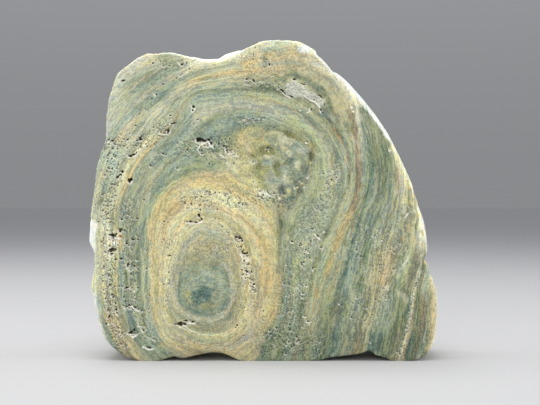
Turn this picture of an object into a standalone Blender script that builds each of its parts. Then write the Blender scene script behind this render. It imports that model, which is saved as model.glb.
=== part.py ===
"""A thick slab of stromatolite, sawn through and polished on one face, standing on its ground base.

One piece of stone. The polished face looks along -Y, the matt sawn back along +Y, and the three pads of the
base rest on Z = 0. The origin is under the middle of the slab.
"""

import bisect
import math

import bmesh
import bpy
from mathutils import Matrix, Vector, noise

MM = 0.001

# Driving dimensions
THICKNESS = 36 * MM
FRONT_Y = -THICKNESS / 2
RIM_STEPS = 210  # stretches that the rim is divided into
EDGE_STEPS = 3  # facets across the eased front edge
EDGE_LEAN = 1.6  # depth of the eased edge over its width
FLANK_DEPTHS = (0.30, 0.39, 0.48, 0.57, 0.66, 0.75, 0.84)  # of the thickness, between the two edges
FLANK_START = (0.16, 0.42)  # the flank's roughness grows in between these shares of the thickness
FLANK_TAPER = 3.0 * MM  # most that the rough flank falls back behind the rim
KNOB_SIZE = 15 * MM  # rounded knobs of the weathered growth surface
KNOB_CREASE = 2.4 * MM  # depth of the creases between them
KNOB_SHARPNESS = 2.2
GRIT_SIZE = 6 * MM
GRIT_DEPTH = 0.6 * MM
SAWN_EDGE_DEPTH = 1.2 * MM  # chipped edge of the sawn back
SAWN_EDGE_INSET = 1.3 * MM
FOOT_RISE = (3 * MM, 24 * MM)  # the flank is upright below the first height, and free above the second
NORMAL_REACH = 3  # rim steps that a rim normal looks over on each side
PIT_LUMP = 0.22  # unevenness of a pit, as a share of its radius

# The rim seen from the front, counter-clockwise from the left foot: x, z and the width of the eased edge, in
# millimetres. Points below Z = 0 are ground away, which leaves the flat pads of the base.
RIM_MM = (
    (-73, 2.8, 2.6), (-69, 1.2, 1.8), (-66, 0.2, 1.2), (-63, -0.6, 1.0), (-57, -0.7, 1.0), (-53, 0.0, 1.0),
    (-50, 0.9, 1.0), (-46, 2.0, 0.9), (-44, 1.5, 0.8), (-41.5, 1.2, 0.8), (-38, 1.8, 0.9), (-33, 3.0, 1.0),
    (-27, 4.0, 1.0), (-23, 3.9, 1.0), (-19, 3.0, 1.0), (-15.5, 1.3, 1.0), (-13, 0.2, 1.0), (-10, -0.6, 1.0),
    (0, -0.8, 1.0), (12, -0.8, 1.0), (22, -0.6, 1.0), (29, 0.2, 1.0), (33, 1.2, 1.0), (36, 1.8, 1.0),
    (43, 2.6, 1.0), (49, 3.5, 1.0), (51, 4.1, 0.9), (53, 5.0, 0.8), (55, 4.4, 0.8), (57, 2.8, 0.9),
    (60, 2.0, 1.0), (63, 0.9, 1.0), (66, -0.4, 1.0), (70, -0.7, 1.0), (75, -0.3, 1.2), (79, 0.7, 1.5),
    (82, 2.0, 2.2), (85, 4.6, 3.0), (87.3, 8, 3.4), (88.6, 12, 4.0), (89.3, 17, 4.5), (89.8, 22, 5.0),
    (90, 27, 5.0), (89.6, 32, 4.0), (88.5, 36, 2.4), (87, 40, 1.4), (85.4, 45, 1.4), (84, 49.3, 1.4),
    (82.6, 51.8, 1.0), (82.4, 53, 1.0), (83.6, 55.3, 1.6), (83.7, 60.8, 2.6), (83, 66.8, 2.8), (82, 71.8, 3.0),
    (80.6, 75.8, 3.0), (79.4, 79, 3.0), (78.8, 81.2, 2.8), (77.5, 84.8, 2.6), (76.4, 88.8, 2.4),
    (75, 92.8, 2.8), (73, 97.5, 3.2), (70.4, 103, 3.0), (67, 109.8, 2.6), (63.8, 115.8, 2.4),
    (60, 121.8, 2.8), (56, 127.6, 3.2), (50, 135.2, 3.6), (43.5, 142.4, 3.8), (40, 145.5, 3.4),
    (37, 147.4, 2.6), (35.3, 147.9, 2.0), (33, 150.8, 2.0), (30, 154.2, 2.0), (27.8, 156, 1.8),
    (26.9, 157.4, 2.2), (26.6, 158.8, 3.4), (25, 160.3, 4.4), (22, 162, 4.4), (19, 163.1, 3.0),
    (15, 163.8, 1.4), (10, 164.1, 0.8), (4, 164, 0.8), (-1, 163.6, 0.8), (-3, 163, 0.8), (-6, 161.2, 0.8),
    (-10, 159.7, 1.0), (-12, 159, 1.8), (-16, 158.4, 4.0), (-20, 157.4, 5.0), (-23, 155.2, 4.0),
    (-26, 154.6, 3.0), (-30, 154.4, 2.2), (-35, 155.3, 1.7), (-40, 156.3, 1.2), (-43.5, 157, 0.9),
    (-50, 157.8, 0.8), (-55, 157.1, 0.8), (-59, 157.2, 0.8), (-62, 156, 0.9), (-66, 154.3, 1.0),
    (-70, 151.3, 1.0), (-73.5, 148.4, 1.0), (-75.8, 145.5, 1.0), (-77.8, 140, 1.0), (-79.4, 134.8, 1.0),
    (-80.4, 129, 0.9), (-80.9, 123, 0.9), (-81.1, 115, 0.9), (-81.5, 112, 0.9), (-82.5, 109, 0.9),
    (-83.7, 105.8, 1.0), (-84.8, 102.6, 1.0), (-85.5, 100.5, 1.0), (-86.3, 96.8, 1.0), (-86.8, 90, 1.0),
    (-87.6, 84, 1.0), (-88.6, 78, 1.0), (-89.2, 72, 1.2), (-89.4, 66, 2.2), (-90, 61.5, 3.4),
    (-89, 58.8, 2.8), (-87.6, 56.3, 1.6), (-87, 52.5, 1.0), (-87.1, 48.5, 0.9), (-88, 43.5, 1.0),
    (-88.5, 39, 1.0), (-87.8, 33, 1.3), (-86.6, 27, 2.2), (-85.6, 21, 3.2), (-84.6, 16.5, 4.0),
    (-82.8, 11.6, 4.2), (-79.2, 7.2, 3.8), (-76, 4.7, 3.2),
)

# Pits in the polished face: x, z, length, width, tilt of the length in degrees, and depth, in millimetres
FACE_PITS_MM = (
    (-33.2, 113.0, 4.6, 2.8, 5, 3.4), (-27.8, 112.6, 2.8, 1.6, -35, 2.2), (-32.3, 107.6, 2.6, 1.9, 80, 2.0),
    (-18.4, 107.9, 2.6, 1.9, 20, 2.0), (-36.5, 129.1, 2.8, 1.9, 75, 2.2), (-49.3, 117.4, 2.8, 2.0, 40, 2.2),
    (-46.4, 121.5, 2.5, 1.4, 30, 1.8), (-63.2, 113.2, 3.4, 1.8, 50, 2.2), (-67.0, 105.4, 5.0, 1.5, 28, 2.2),
    (-78.0, 112.5, 3.1, 1.5, -10, 1.8), (-73.6, 94.9, 3.4, 1.6, 35, 2.2), (-68.2, 92.1, 2.8, 2.0, 78, 3.0),
    (-51.5, 105.9, 2.4, 1.2, -20, 1.5), (-73.0, 66.8, 2.4, 2.1, 30, 2.0), (-76.8, 64.0, 4.2, 2.1, 8, 2.6),
    (-77.4, 56.0, 4.2, 2.7, 12, 2.4), (-75.5, 51.8, 2.0, 1.2, 10, 1.4), (-72.5, 52.4, 1.9, 1.1, -15, 1.4),
    (-66.8, 61.7, 2.6, 1.0, -8, 1.3), (-70.0, 60.0, 1.8, 1.5, -30, 1.4), (-69.0, 49.2, 2.4, 1.7, 20, 1.6),
    (-70.4, 37.5, 2.4, 1.1, 8, 1.4), (-69.6, 28.7, 3.8, 1.4, 8, 1.8), (-65.3, 27.2, 2.4, 1.1, -28, 1.4),
    (-79.1, 22.2, 2.4, 1.2, 75, 1.4), (-67.0, 14.7, 4.6, 2.2, 5, 2.6), (-58.7, 7.0, 2.8, 1.2, -18, 1.5),
    (-33.2, 74.3, 2.0, 1.8, -30, 1.8), (-36.4, 71.1, 5.4, 1.2, 5, 1.6), (-13.2, 63.0, 3.2, 1.8, -28, 2.0),
    (-9.9, 55.2, 3.2, 2.4, -20, 2.4), (-9.2, 46.3, 2.8, 1.6, 15, 1.8), (-42.3, 19.2, 6.4, 1.9, 8, 2.4),
    (-37.4, 19.8, 3.4, 1.3, 5, 1.5), (-13.9, 17.9, 2.4, 1.4, 35, 1.6), (-48.6, 54.0, 2.0, 1.0, 0, 1.3),
    (-5.4, 143.0, 2.6, 1.2, -40, 1.5), (2.7, 151.1, 2.2, 1.0, 75, 1.3), (11.2, 137.2, 6.2, 1.2, -36, 1.6),
    (16.3, 143.4, 2.8, 1.1, -10, 1.4), (29.3, 134.6, 3.8, 1.0, -38, 1.4), (23.8, 128.0, 2.6, 1.0, 35, 1.4),
    (27.0, 64.2, 2.8, 1.0, -50, 1.5), (19.7, 34.2, 2.6, 1.3, 85, 1.5), (22.4, 20.1, 1.8, 1.4, -40, 1.5),
)

# Pits in the sawn back, in the same order of values
BACK_PITS_MM = (
    (-66, 96, 4.0, 1.8, 60, 2.2), (-72, 58, 3.2, 2.0, 80, 2.2), (-64, 30, 2.6, 1.6, 70, 1.8),
    (-41, 118, 3.4, 1.6, 35, 2.0), (-12, 128, 4.2, 1.6, -8, 2.0), (24, 116, 3.0, 1.6, -40, 1.8),
    (-20, 62, 3.0, 1.8, 30, 2.0), (-8, 30, 2.8, 1.6, 70, 1.8), (31, 58, 2.8, 1.4, 65, 1.6),
    (58, 40, 2.4, 1.4, 75, 1.6), (46, 92, 2.8, 1.3, 85, 1.6), (-44, 22, 3.4, 1.5, -25, 1.8),
)

# Pits in the weathered flank: share of the way round the rim, share of the thickness, length, width and depth
# in millimetres
FLANK_PITS = (
    (0.34, 0.62, 5.0, 3.4, 2.4), (0.385, 0.44, 3.6, 2.4, 1.8), (0.43, 0.72, 4.4, 3.0, 2.2),
    (0.485, 0.55, 5.2, 3.0, 2.4), (0.53, 0.40, 3.4, 2.6, 1.8), (0.57, 0.70, 6.0, 3.2, 2.6),
    (0.625, 0.50, 4.6, 3.4, 2.4), (0.68, 0.66, 5.6, 3.6, 2.8), (0.715, 0.42, 3.8, 2.4, 2.0),
    (0.76, 0.60, 5.0, 3.0, 2.4), (0.81, 0.46, 6.4, 3.4, 2.8), (0.835, 0.74, 4.2, 2.8, 2.0),
    (0.875, 0.56, 5.4, 3.2, 2.4), (0.915, 0.68, 4.0, 2.6, 2.0),
)

STONE = ("polished_stone", (0.40, 0.42, 0.27, 1.0), 0.35)


def clear_scene():
    for obj in list(bpy.data.objects):
        bpy.data.objects.remove(obj, do_unlink=True)


def stone_material():
    name, colour, roughness = STONE
    material = bpy.data.materials.new(name)
    material.use_nodes = True
    shader = material.node_tree.nodes["Principled BSDF"]
    shader.inputs["Base Color"].default_value = colour
    shader.inputs["Roughness"].default_value = roughness
    shader.inputs["Metallic"].default_value = 0.0
    return material


def rim_curve(a, b, c, d, t):
    """The point at share t between b and c on the smooth curve through a, b, c and d."""
    return 0.5 * (
        2 * b + (c - a) * t + (2 * a - 5 * b + 4 * c - d) * t ** 2 + (3 * b - a - 3 * c + d) * t ** 3
    )


def sampled_rim():
    """RIM_STEPS even steps round the rim, each the vector (x, z, eased width) in metres."""
    points = [Vector(row) * MM for row in RIM_MM]
    count, fine = len(points), 12
    dense = []
    for i in range(count):
        near = [points[(i + k) % count] for k in (-1, 0, 1, 2)]
        dense += [rim_curve(*near, step / fine) for step in range(fine)]
    dense.append(dense[0].copy())
    run = [0.0]
    for here, there in zip(dense, dense[1:]):
        run.append(run[-1] + (there.xy - here.xy).length)
    rim = []
    for step in range(RIM_STEPS):
        target = run[-1] * step / RIM_STEPS
        k = bisect.bisect_right(run, target) - 1
        share = (target - run[k]) / (run[k + 1] - run[k])
        rim.append(dense[k].lerp(dense[k + 1], share))
    return rim


def inward_normals(rim):
    """Unit vectors (x, z) pointing into the slab, evened out over NORMAL_REACH steps each way."""
    count = len(rim)
    normals = []
    for i in range(count):
        along = rim[(i + NORMAL_REACH) % count].xy - rim[(i - NORMAL_REACH) % count].xy
        normals.append(Vector((-along.y, along.x)).normalized())
    return normals


def smooth_step(value, low, high):
    t = min(1.0, max(0.0, (value - low) / (high - low)))
    return t * t * (3 - 2 * t)


def flank_inset(point, depth):
    """How far the rough flank lies behind the rim at a rim point and a depth from the front."""
    free = smooth_step(point.y, *FOOT_RISE)
    spot = Vector((point.x, depth, point.y))
    share = depth / THICKNESS
    taper = FLANK_TAPER * share ** 2 * (1.0 + noise.noise(spot / (4 * KNOB_SIZE)))
    crease = 1.0 - min(1.0, KNOB_SHARPNESS * abs(noise.noise(spot / KNOB_SIZE)))
    grit = 0.5 + noise.noise(spot / GRIT_SIZE)
    rough = KNOB_CREASE * crease ** 2 + GRIT_DEPTH * grit
    return free * max(0.0, taper + rough * smooth_step(share, *FLANK_START))


def slab_rings(rim, normals):
    """The rings of points that the slab is skinned over, from the polished face to the sawn back."""
    quarter = [math.pi / 2 * k / EDGE_STEPS for k in range(EDGE_STEPS + 1)]
    rings = [[] for _ in range(len(quarter) + len(FLANK_DEPTHS) + 2)]
    for point, inward in zip(rim, normals):
        width = point.z
        places = [(EDGE_LEAN * width * (1 - math.cos(a)), width * (1 - math.sin(a))) for a in quarter]
        for share in FLANK_DEPTHS:
            depth = share * THICKNESS
            places.append((depth, flank_inset(point, depth)))
        back_inset = flank_inset(point, THICKNESS)
        places.append((THICKNESS - SAWN_EDGE_DEPTH, back_inset))
        places.append((THICKNESS, back_inset + SAWN_EDGE_INSET))
        for ring, (depth, inset) in zip(rings, places):
            spot = point.xy + inward * inset
            ring.append(Vector((spot.x, FRONT_Y + depth, spot.y)))
    return rings


def grind_base(mesh):
    """Cuts away what lies below Z = 0 and closes the cuts, which are the flat pads of the base."""
    geometry = mesh.verts[:] + mesh.edges[:] + mesh.faces[:]
    cut = bmesh.ops.bisect_plane(
        mesh, geom=geometry, dist=1e-7, plane_co=(0, 0, 0), plane_no=(0, 0, 1), clear_inner=True
    )
    edges = [e for e in cut["geom_cut"] if isinstance(e, bmesh.types.BMEdge)]
    bmesh.ops.holes_fill(mesh, edges=edges)


def skinned_slab(rim, normals):
    rings = slab_rings(rim, normals)
    mesh = bmesh.new()
    loops = [[mesh.verts.new(p) for p in ring] for ring in rings]
    for front, back in zip(loops, loops[1:]):
        for i in range(len(front)):
            j = (i + 1) % len(front)
            mesh.faces.new((front[i], back[i], back[j], front[j]))
    for face in mesh.faces:
        face.smooth = True
    mesh.faces.new(loops[0])
    mesh.faces.new(reversed(loops[-1]))
    grind_base(mesh)
    bmesh.ops.recalc_face_normals(mesh, faces=mesh.faces)
    return mesh


def add_hollow(mesh, place, length, width, depth):
    """One uneven blob whose middle is put by the matrix place: its X is the length, and its Y the depth."""
    fine = 2 if length > 3.0 else 1
    made = bmesh.ops.create_icosphere(mesh, subdivisions=fine, radius=1.0)
    size = Matrix.Diagonal((length / 2 * MM, depth * MM, width / 2 * MM, 1.0))
    own = place.translation / MM
    for vert in made["verts"]:
        vert.co *= 1.0 + PIT_LUMP * noise.noise(vert.co * 1.3 + own)
        vert.co = place @ size @ vert.co


def add_face_pits(mesh, rows, face_y):
    for x, z, length, width, tilt, depth in rows:
        turn = Matrix.Rotation(math.radians(-tilt), 4, "Y")
        add_hollow(mesh, Matrix.Translation((x * MM, face_y, z * MM)) @ turn, length, width, depth)


def add_flank_pits(mesh, rim, normals):
    for rim_share, depth_share, length, width, depth in FLANK_PITS:
        i = round(rim_share * RIM_STEPS) % RIM_STEPS
        out_of_plane = depth_share * THICKNESS
        spot = rim[i].xy + normals[i] * flank_inset(rim[i], out_of_plane)
        inward = Vector((normals[i].x, 0.0, normals[i].y))
        across = Vector((0.0, 1.0, 0.0))
        turn = Matrix((inward.cross(across), inward, across)).transposed().to_4x4()
        place = Matrix.Translation((spot.x, FRONT_Y + out_of_plane, spot.y)) @ turn
        add_hollow(mesh, place, length, width, depth)


def pit_cutter(rim, normals):
    mesh = bmesh.new()
    add_face_pits(mesh, FACE_PITS_MM, FRONT_Y)
    add_face_pits(mesh, BACK_PITS_MM, -FRONT_Y)
    add_flank_pits(mesh, rim, normals)
    return mesh


def new_object(name, mesh):
    data = bpy.data.meshes.new(name)
    mesh.to_mesh(data)
    mesh.free()
    obj = bpy.data.objects.new(name, data)
    bpy.context.scene.collection.objects.link(obj)
    return obj


def cut_pits(slab, rim, normals):
    cutter = new_object("pit_cutter", pit_cutter(rim, normals))
    cutter.hide_render = True
    cutter.display_type = "WIRE"
    boolean = slab.modifiers.new("pits", "BOOLEAN")
    boolean.operation = "DIFFERENCE"
    boolean.object = cutter
    boolean.solver = "EXACT"
    boolean.use_self = True


def main():
    clear_scene()
    rim = sampled_rim()
    normals = inward_normals(rim)
    slab = new_object("stromatolite_slab", skinned_slab(rim, normals))
    slab.data.materials.append(stone_material())
    slab.data.set_sharp_from_angle(angle=math.radians(35))
    cut_pits(slab, rim, normals)


main()
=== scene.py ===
"""A cut and polished slab of stromatolite, standing unheld on its ground base, on a plain pale floor.

The slab is one closed mesh. Its growth layers come from guide lines that were read, and its colours
from logs of named pigments along lines across the face, with patches, streaks and specks laid on them. Its
fine lamination and grain come from the material's nodes.
Lengths are in millimetres until the mesh is made.
"""

import math
import random

import bpy
import numpy as np
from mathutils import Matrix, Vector, noise
from mathutils.geometry import delaunay_2d_cdt


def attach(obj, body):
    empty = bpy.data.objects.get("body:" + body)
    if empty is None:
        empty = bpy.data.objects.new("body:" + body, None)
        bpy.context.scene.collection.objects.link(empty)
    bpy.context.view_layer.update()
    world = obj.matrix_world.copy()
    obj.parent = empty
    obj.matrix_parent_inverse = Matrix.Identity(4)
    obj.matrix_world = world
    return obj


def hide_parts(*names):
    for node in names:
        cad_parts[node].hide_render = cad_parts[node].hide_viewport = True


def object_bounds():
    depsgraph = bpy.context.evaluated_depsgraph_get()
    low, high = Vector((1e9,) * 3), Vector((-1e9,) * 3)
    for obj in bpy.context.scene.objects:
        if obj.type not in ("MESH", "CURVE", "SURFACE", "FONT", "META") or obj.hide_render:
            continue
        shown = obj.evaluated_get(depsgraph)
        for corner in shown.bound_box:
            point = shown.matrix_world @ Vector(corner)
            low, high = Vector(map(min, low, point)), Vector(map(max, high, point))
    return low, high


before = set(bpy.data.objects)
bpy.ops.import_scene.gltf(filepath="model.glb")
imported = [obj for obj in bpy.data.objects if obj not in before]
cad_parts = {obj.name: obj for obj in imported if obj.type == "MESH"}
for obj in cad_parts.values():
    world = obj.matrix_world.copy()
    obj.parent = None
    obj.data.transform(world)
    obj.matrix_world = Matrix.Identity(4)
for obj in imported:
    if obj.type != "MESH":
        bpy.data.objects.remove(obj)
cad_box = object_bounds()

MM = 0.001

# Driving dimensions, the same as in the solid
THICKNESS = 36.0
FRONT_Y = -THICKNESS / 2
EDGE_LEAN = 1.6
FLANK_START = (0.16, 0.42)
FLANK_TAPER = 3.0
KNOB_SIZE = 15.0
KNOB_CREASE = 2.4
KNOB_SHARPNESS = 2.2
GRIT_SIZE = 6.0
GRIT_DEPTH = 0.6
SAWN_EDGE_DEPTH = 1.2
SAWN_EDGE_INSET = 1.3
FOOT_RISE = (3.0, 24.0)
NORMAL_REACH = 8.0

# Fineness of the mesh
RIM_PITCH = 0.7
EASED_RINGS = 5
FLANK_ROWS = 32
FACE_PITCH = 0.8
BACK_PITCH = 1.9

# The rim seen from the front, counter-clockwise from the left foot: x, z and the width of the eased edge
RIM = (
    (-73, 2.8, 2.6), (-69, 1.2, 1.8), (-66, 0.2, 1.2), (-63, -0.6, 1.0), (-57, -0.7, 1.0), (-53, 0.0, 1.0),
    (-50, 0.9, 1.0), (-46, 2.0, 0.9), (-44, 1.5, 0.8), (-41.5, 1.2, 0.8), (-38, 1.8, 0.9), (-33, 3.0, 1.0),
    (-27, 4.0, 1.0), (-23, 3.9, 1.0), (-19, 3.0, 1.0), (-15.5, 1.3, 1.0), (-13, 0.2, 1.0), (-10, -0.6, 1.0),
    (0, -0.8, 1.0), (12, -0.8, 1.0), (22, -0.6, 1.0), (29, 0.2, 1.0), (33, 1.2, 1.0), (36, 1.8, 1.0),
    (43, 2.6, 1.0), (49, 3.5, 1.0), (51, 4.1, 0.9), (53, 5.0, 0.8), (55, 4.4, 0.8), (57, 2.8, 0.9),
    (60, 2.0, 1.0), (63, 0.9, 1.0), (66, -0.4, 1.0), (70, -0.7, 1.0), (75, -0.3, 1.2), (79, 0.7, 1.5),
    (82, 2.0, 2.2), (85, 4.6, 3.0), (87.3, 8, 3.4), (88.6, 12, 4.0), (89.3, 17, 4.5), (89.8, 22, 5.0),
    (90, 27, 5.0), (89.6, 32, 4.0), (88.5, 36, 2.4), (87, 40, 1.4), (85.4, 45, 1.4), (84, 49.3, 1.4),
    (82.6, 51.8, 1.0), (82.4, 53, 1.0), (83.6, 55.3, 1.6), (83.7, 60.8, 2.6), (83, 66.8, 2.8),
    (82, 71.8, 3.0), (80.6, 75.8, 3.0), (79.4, 79, 3.0), (78.8, 81.2, 2.8), (77.5, 84.8, 2.6),
    (76.4, 88.8, 2.4), (75, 92.8, 2.8), (73, 97.5, 3.2), (70.4, 103, 3.0), (67, 109.8, 2.6),
    (63.8, 115.8, 2.4), (60, 121.8, 2.8), (56, 127.6, 3.2), (50, 135.2, 3.6), (43.5, 142.4, 3.8),
    (40, 145.5, 3.4), (37, 147.4, 2.6), (35.3, 147.9, 2.0), (33, 150.8, 2.0), (30, 154.2, 2.0),
    (27.8, 156, 1.8), (26.9, 157.4, 2.2), (26.6, 158.8, 3.4), (25, 160.3, 4.4), (22, 162, 4.4),
    (19, 163.1, 3.0), (15, 163.8, 1.4), (10, 164.1, 0.8), (4, 164, 0.8), (-1, 163.6, 0.8), (-3, 163, 0.8),
    (-6, 161.2, 0.8), (-10, 159.7, 1.0), (-12, 159, 1.8), (-16, 158.4, 4.0), (-20, 157.4, 5.0),
    (-23, 155.2, 4.0), (-26, 154.6, 3.0), (-30, 154.4, 2.2), (-35, 155.3, 1.7), (-40, 156.3, 1.2),
    (-43.5, 157, 0.9), (-50, 157.8, 0.8), (-55, 157.1, 0.8), (-59, 157.2, 0.8), (-62, 156, 0.9),
    (-66, 154.3, 1.0), (-70, 151.3, 1.0), (-73.5, 148.4, 1.0), (-75.8, 145.5, 1.0), (-77.8, 140, 1.0),
    (-79.4, 134.8, 1.0), (-80.4, 129, 0.9), (-80.9, 123, 0.9), (-81.1, 115, 0.9), (-81.5, 112, 0.9),
    (-82.5, 109, 0.9), (-83.7, 105.8, 1.0), (-84.8, 102.6, 1.0), (-85.5, 100.5, 1.0), (-86.3, 96.8, 1.0),
    (-86.8, 90, 1.0), (-87.6, 84, 1.0), (-88.6, 78, 1.0), (-89.2, 72, 1.2), (-89.4, 66, 2.2),
    (-90, 61.5, 3.4), (-89, 58.8, 2.8), (-87.6, 56.3, 1.6), (-87, 52.5, 1.0), (-87.1, 48.5, 0.9),
    (-88, 43.5, 1.0), (-88.5, 39, 1.0), (-87.8, 33, 1.3), (-86.6, 27, 2.2), (-85.6, 21, 3.2),
    (-84.6, 16.5, 4.0), (-82.8, 11.6, 4.2), (-79.2, 7.2, 3.8), (-76, 4.7, 3.2),
)

# Pits in the polished face: x, z, length, width, tilt of the length in degrees, and depth
FACE_PITS = (
    (-33.0, 112.7, 3.6, 2.8, -25, 3.4), (-30.9, 112.4, 2.6, 1.7, 10, 2.8), (-27.9, 112.8, 1.7, 1.0, -25, 2.0),
    (-27.0, 111.1, 2.3, 0.9, -70, 1.8), (-20.4, 109.5, 1.5, 0.9, 10, 1.4), (-18.8, 107.6, 1.6, 1.1, 75, 1.6),
    (-36.0, 129.6, 1.8, 1.4, -75, 2.0), (-36.5, 127.9, 1.1, 0.9, 0, 1.6), (-48.9, 117.2, 2.4, 1.3, 60, 2.2),
    (-46.8, 121.1, 1.5, 1.0, 10, 1.6), (-45.9, 121.6, 1.2, 0.9, 40, 1.6), (-63.1, 113.2, 2.6, 1.6, 65, 2.4),
    (-64.6, 112.5, 1.5, 0.9, 5, 1.6), (-68.1, 104.6, 2.6, 1.3, 20, 2.2), (-66.5, 105.4, 2.2, 0.9, 25, 1.8),
    (-65.1, 106.3, 1.5, 0.8, 50, 1.4), (-79.1, 112.8, 1.4, 1.1, 70, 1.6), (-77.3, 112.3, 2.1, 0.9, 18, 1.6),
    (-72.1, 96.5, 1.9, 1.4, -75, 2.0), (-73.3, 94.8, 1.8, 1.1, 20, 2.0), (-74.6, 93.8, 2.0, 1.2, 38, 2.0),
    (-68.3, 92.0, 2.8, 1.9, 75, 3.2), (-73.3, 66.6, 2.2, 1.6, 50, 2.0), (-77.0, 64.0, 3.2, 2.4, -10, 2.6),
    (-75.6, 64.6, 1.8, 1.0, 15, 1.8), (-77.4, 56.6, 4.2, 2.0, 12, 2.4), (-79.2, 55.9, 1.4, 1.0, 60, 1.6),
    (-77.8, 54.7, 1.8, 0.9, 10, 1.6), (-75.9, 57.0, 1.4, 1.2, 30, 1.8), (-75.7, 51.7, 1.7, 1.0, -5, 1.6),
    (-73.0, 52.2, 1.6, 1.0, -15, 1.5), (-69.5, 49.0, 2.4, 1.3, 70, 1.8), (-66.8, 61.7, 2.4, 0.9, -8, 1.3),
    (-70.0, 60.0, 1.7, 1.2, -30, 1.4), (-70.1, 37.2, 2.2, 1.0, 12, 1.5), (-70.2, 27.8, 1.6, 0.9, 0, 1.4),
    (-68.6, 28.4, 1.8, 1.0, 15, 1.6), (-65.6, 27.4, 1.8, 1.1, -20, 1.6), (-75.4, 26.1, 1.7, 1.1, -20, 1.6),
    (-79.1, 22.4, 2.8, 1.1, 62, 1.6), (-67.3, 14.4, 4.6, 1.5, -2, 2.6), (-66.3, 15.4, 2.2, 1.3, 65, 2.4),
    (-61.4, 15.6, 1.4, 0.9, -40, 1.5), (-58.9, 7.0, 3.9, 1.0, -16, 1.8), (-33.2, 74.2, 1.9, 1.4, -40, 2.0),
    (-31.9, 72.4, 1.5, 0.8, -60, 1.4), (-37.5, 70.9, 1.5, 1.1, 0, 1.6), (-34.9, 70.8, 2.6, 0.8, 5, 1.3),
    (-12.2, 62.8, 2.4, 1.7, -35, 2.4), (-14.0, 63.2, 1.8, 0.8, 5, 1.3), (-11.2, 61.3, 1.5, 0.9, -60, 1.6),
    (-11.1, 55.4, 1.7, 1.1, -70, 2.0), (-9.8, 54.7, 2.4, 1.2, 0, 2.2), (-8.6, 55.1, 1.5, 0.9, 75, 1.8),
    (-8.9, 45.7, 1.7, 1.3, -20, 1.7), (-11.1, 46.3, 1.6, 0.7, -15, 1.2), (-10.9, 44.3, 1.6, 0.8, 0, 1.3),
    (-5.4, 39.1, 1.8, 1.2, 65, 1.6), (-13.6, 18.0, 1.5, 1.0, 60, 1.6), (-42.6, 18.8, 3.0, 1.9, 0, 2.8),
    (-45.0, 18.9, 2.4, 0.9, 5, 1.8), (-40.6, 18.6, 2.0, 1.4, 0, 2.4), (-39.9, 20.6, 2.8, 0.7, 12, 1.5),
    (-36.4, 20.0, 1.5, 1.1, 10, 1.8), (-48.3, 54.0, 1.8, 0.8, 0, 1.2), (-5.4, 143.0, 2.4, 1.1, -40, 1.4),
    (2.7, 151.1, 2.0, 0.9, 75, 1.2), (15.4, 143.6, 1.7, 1.2, 0, 1.4), (9.6, 137.5, 4.4, 0.9, -42, 1.6),
    (13.8, 134.9, 2.9, 0.7, -26, 1.2), (29.0, 134.9, 4.4, 0.8, -42, 1.5), (19.6, 141.4, 4.0, 0.7, -24, 1.1),
    (24.2, 128.4, 1.6, 0.8, 62, 1.3), (28.9, 128.0, 1.6, 0.8, -62, 1.3), (27.4, 64.0, 1.7, 0.8, -60, 1.6),
    (24.7, 67.4, 1.7, 0.7, -20, 1.3), (24.8, 47.5, 1.8, 0.7, 85, 1.3), (22.4, 20.2, 1.4, 1.0, -30, 1.5),
)

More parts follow.
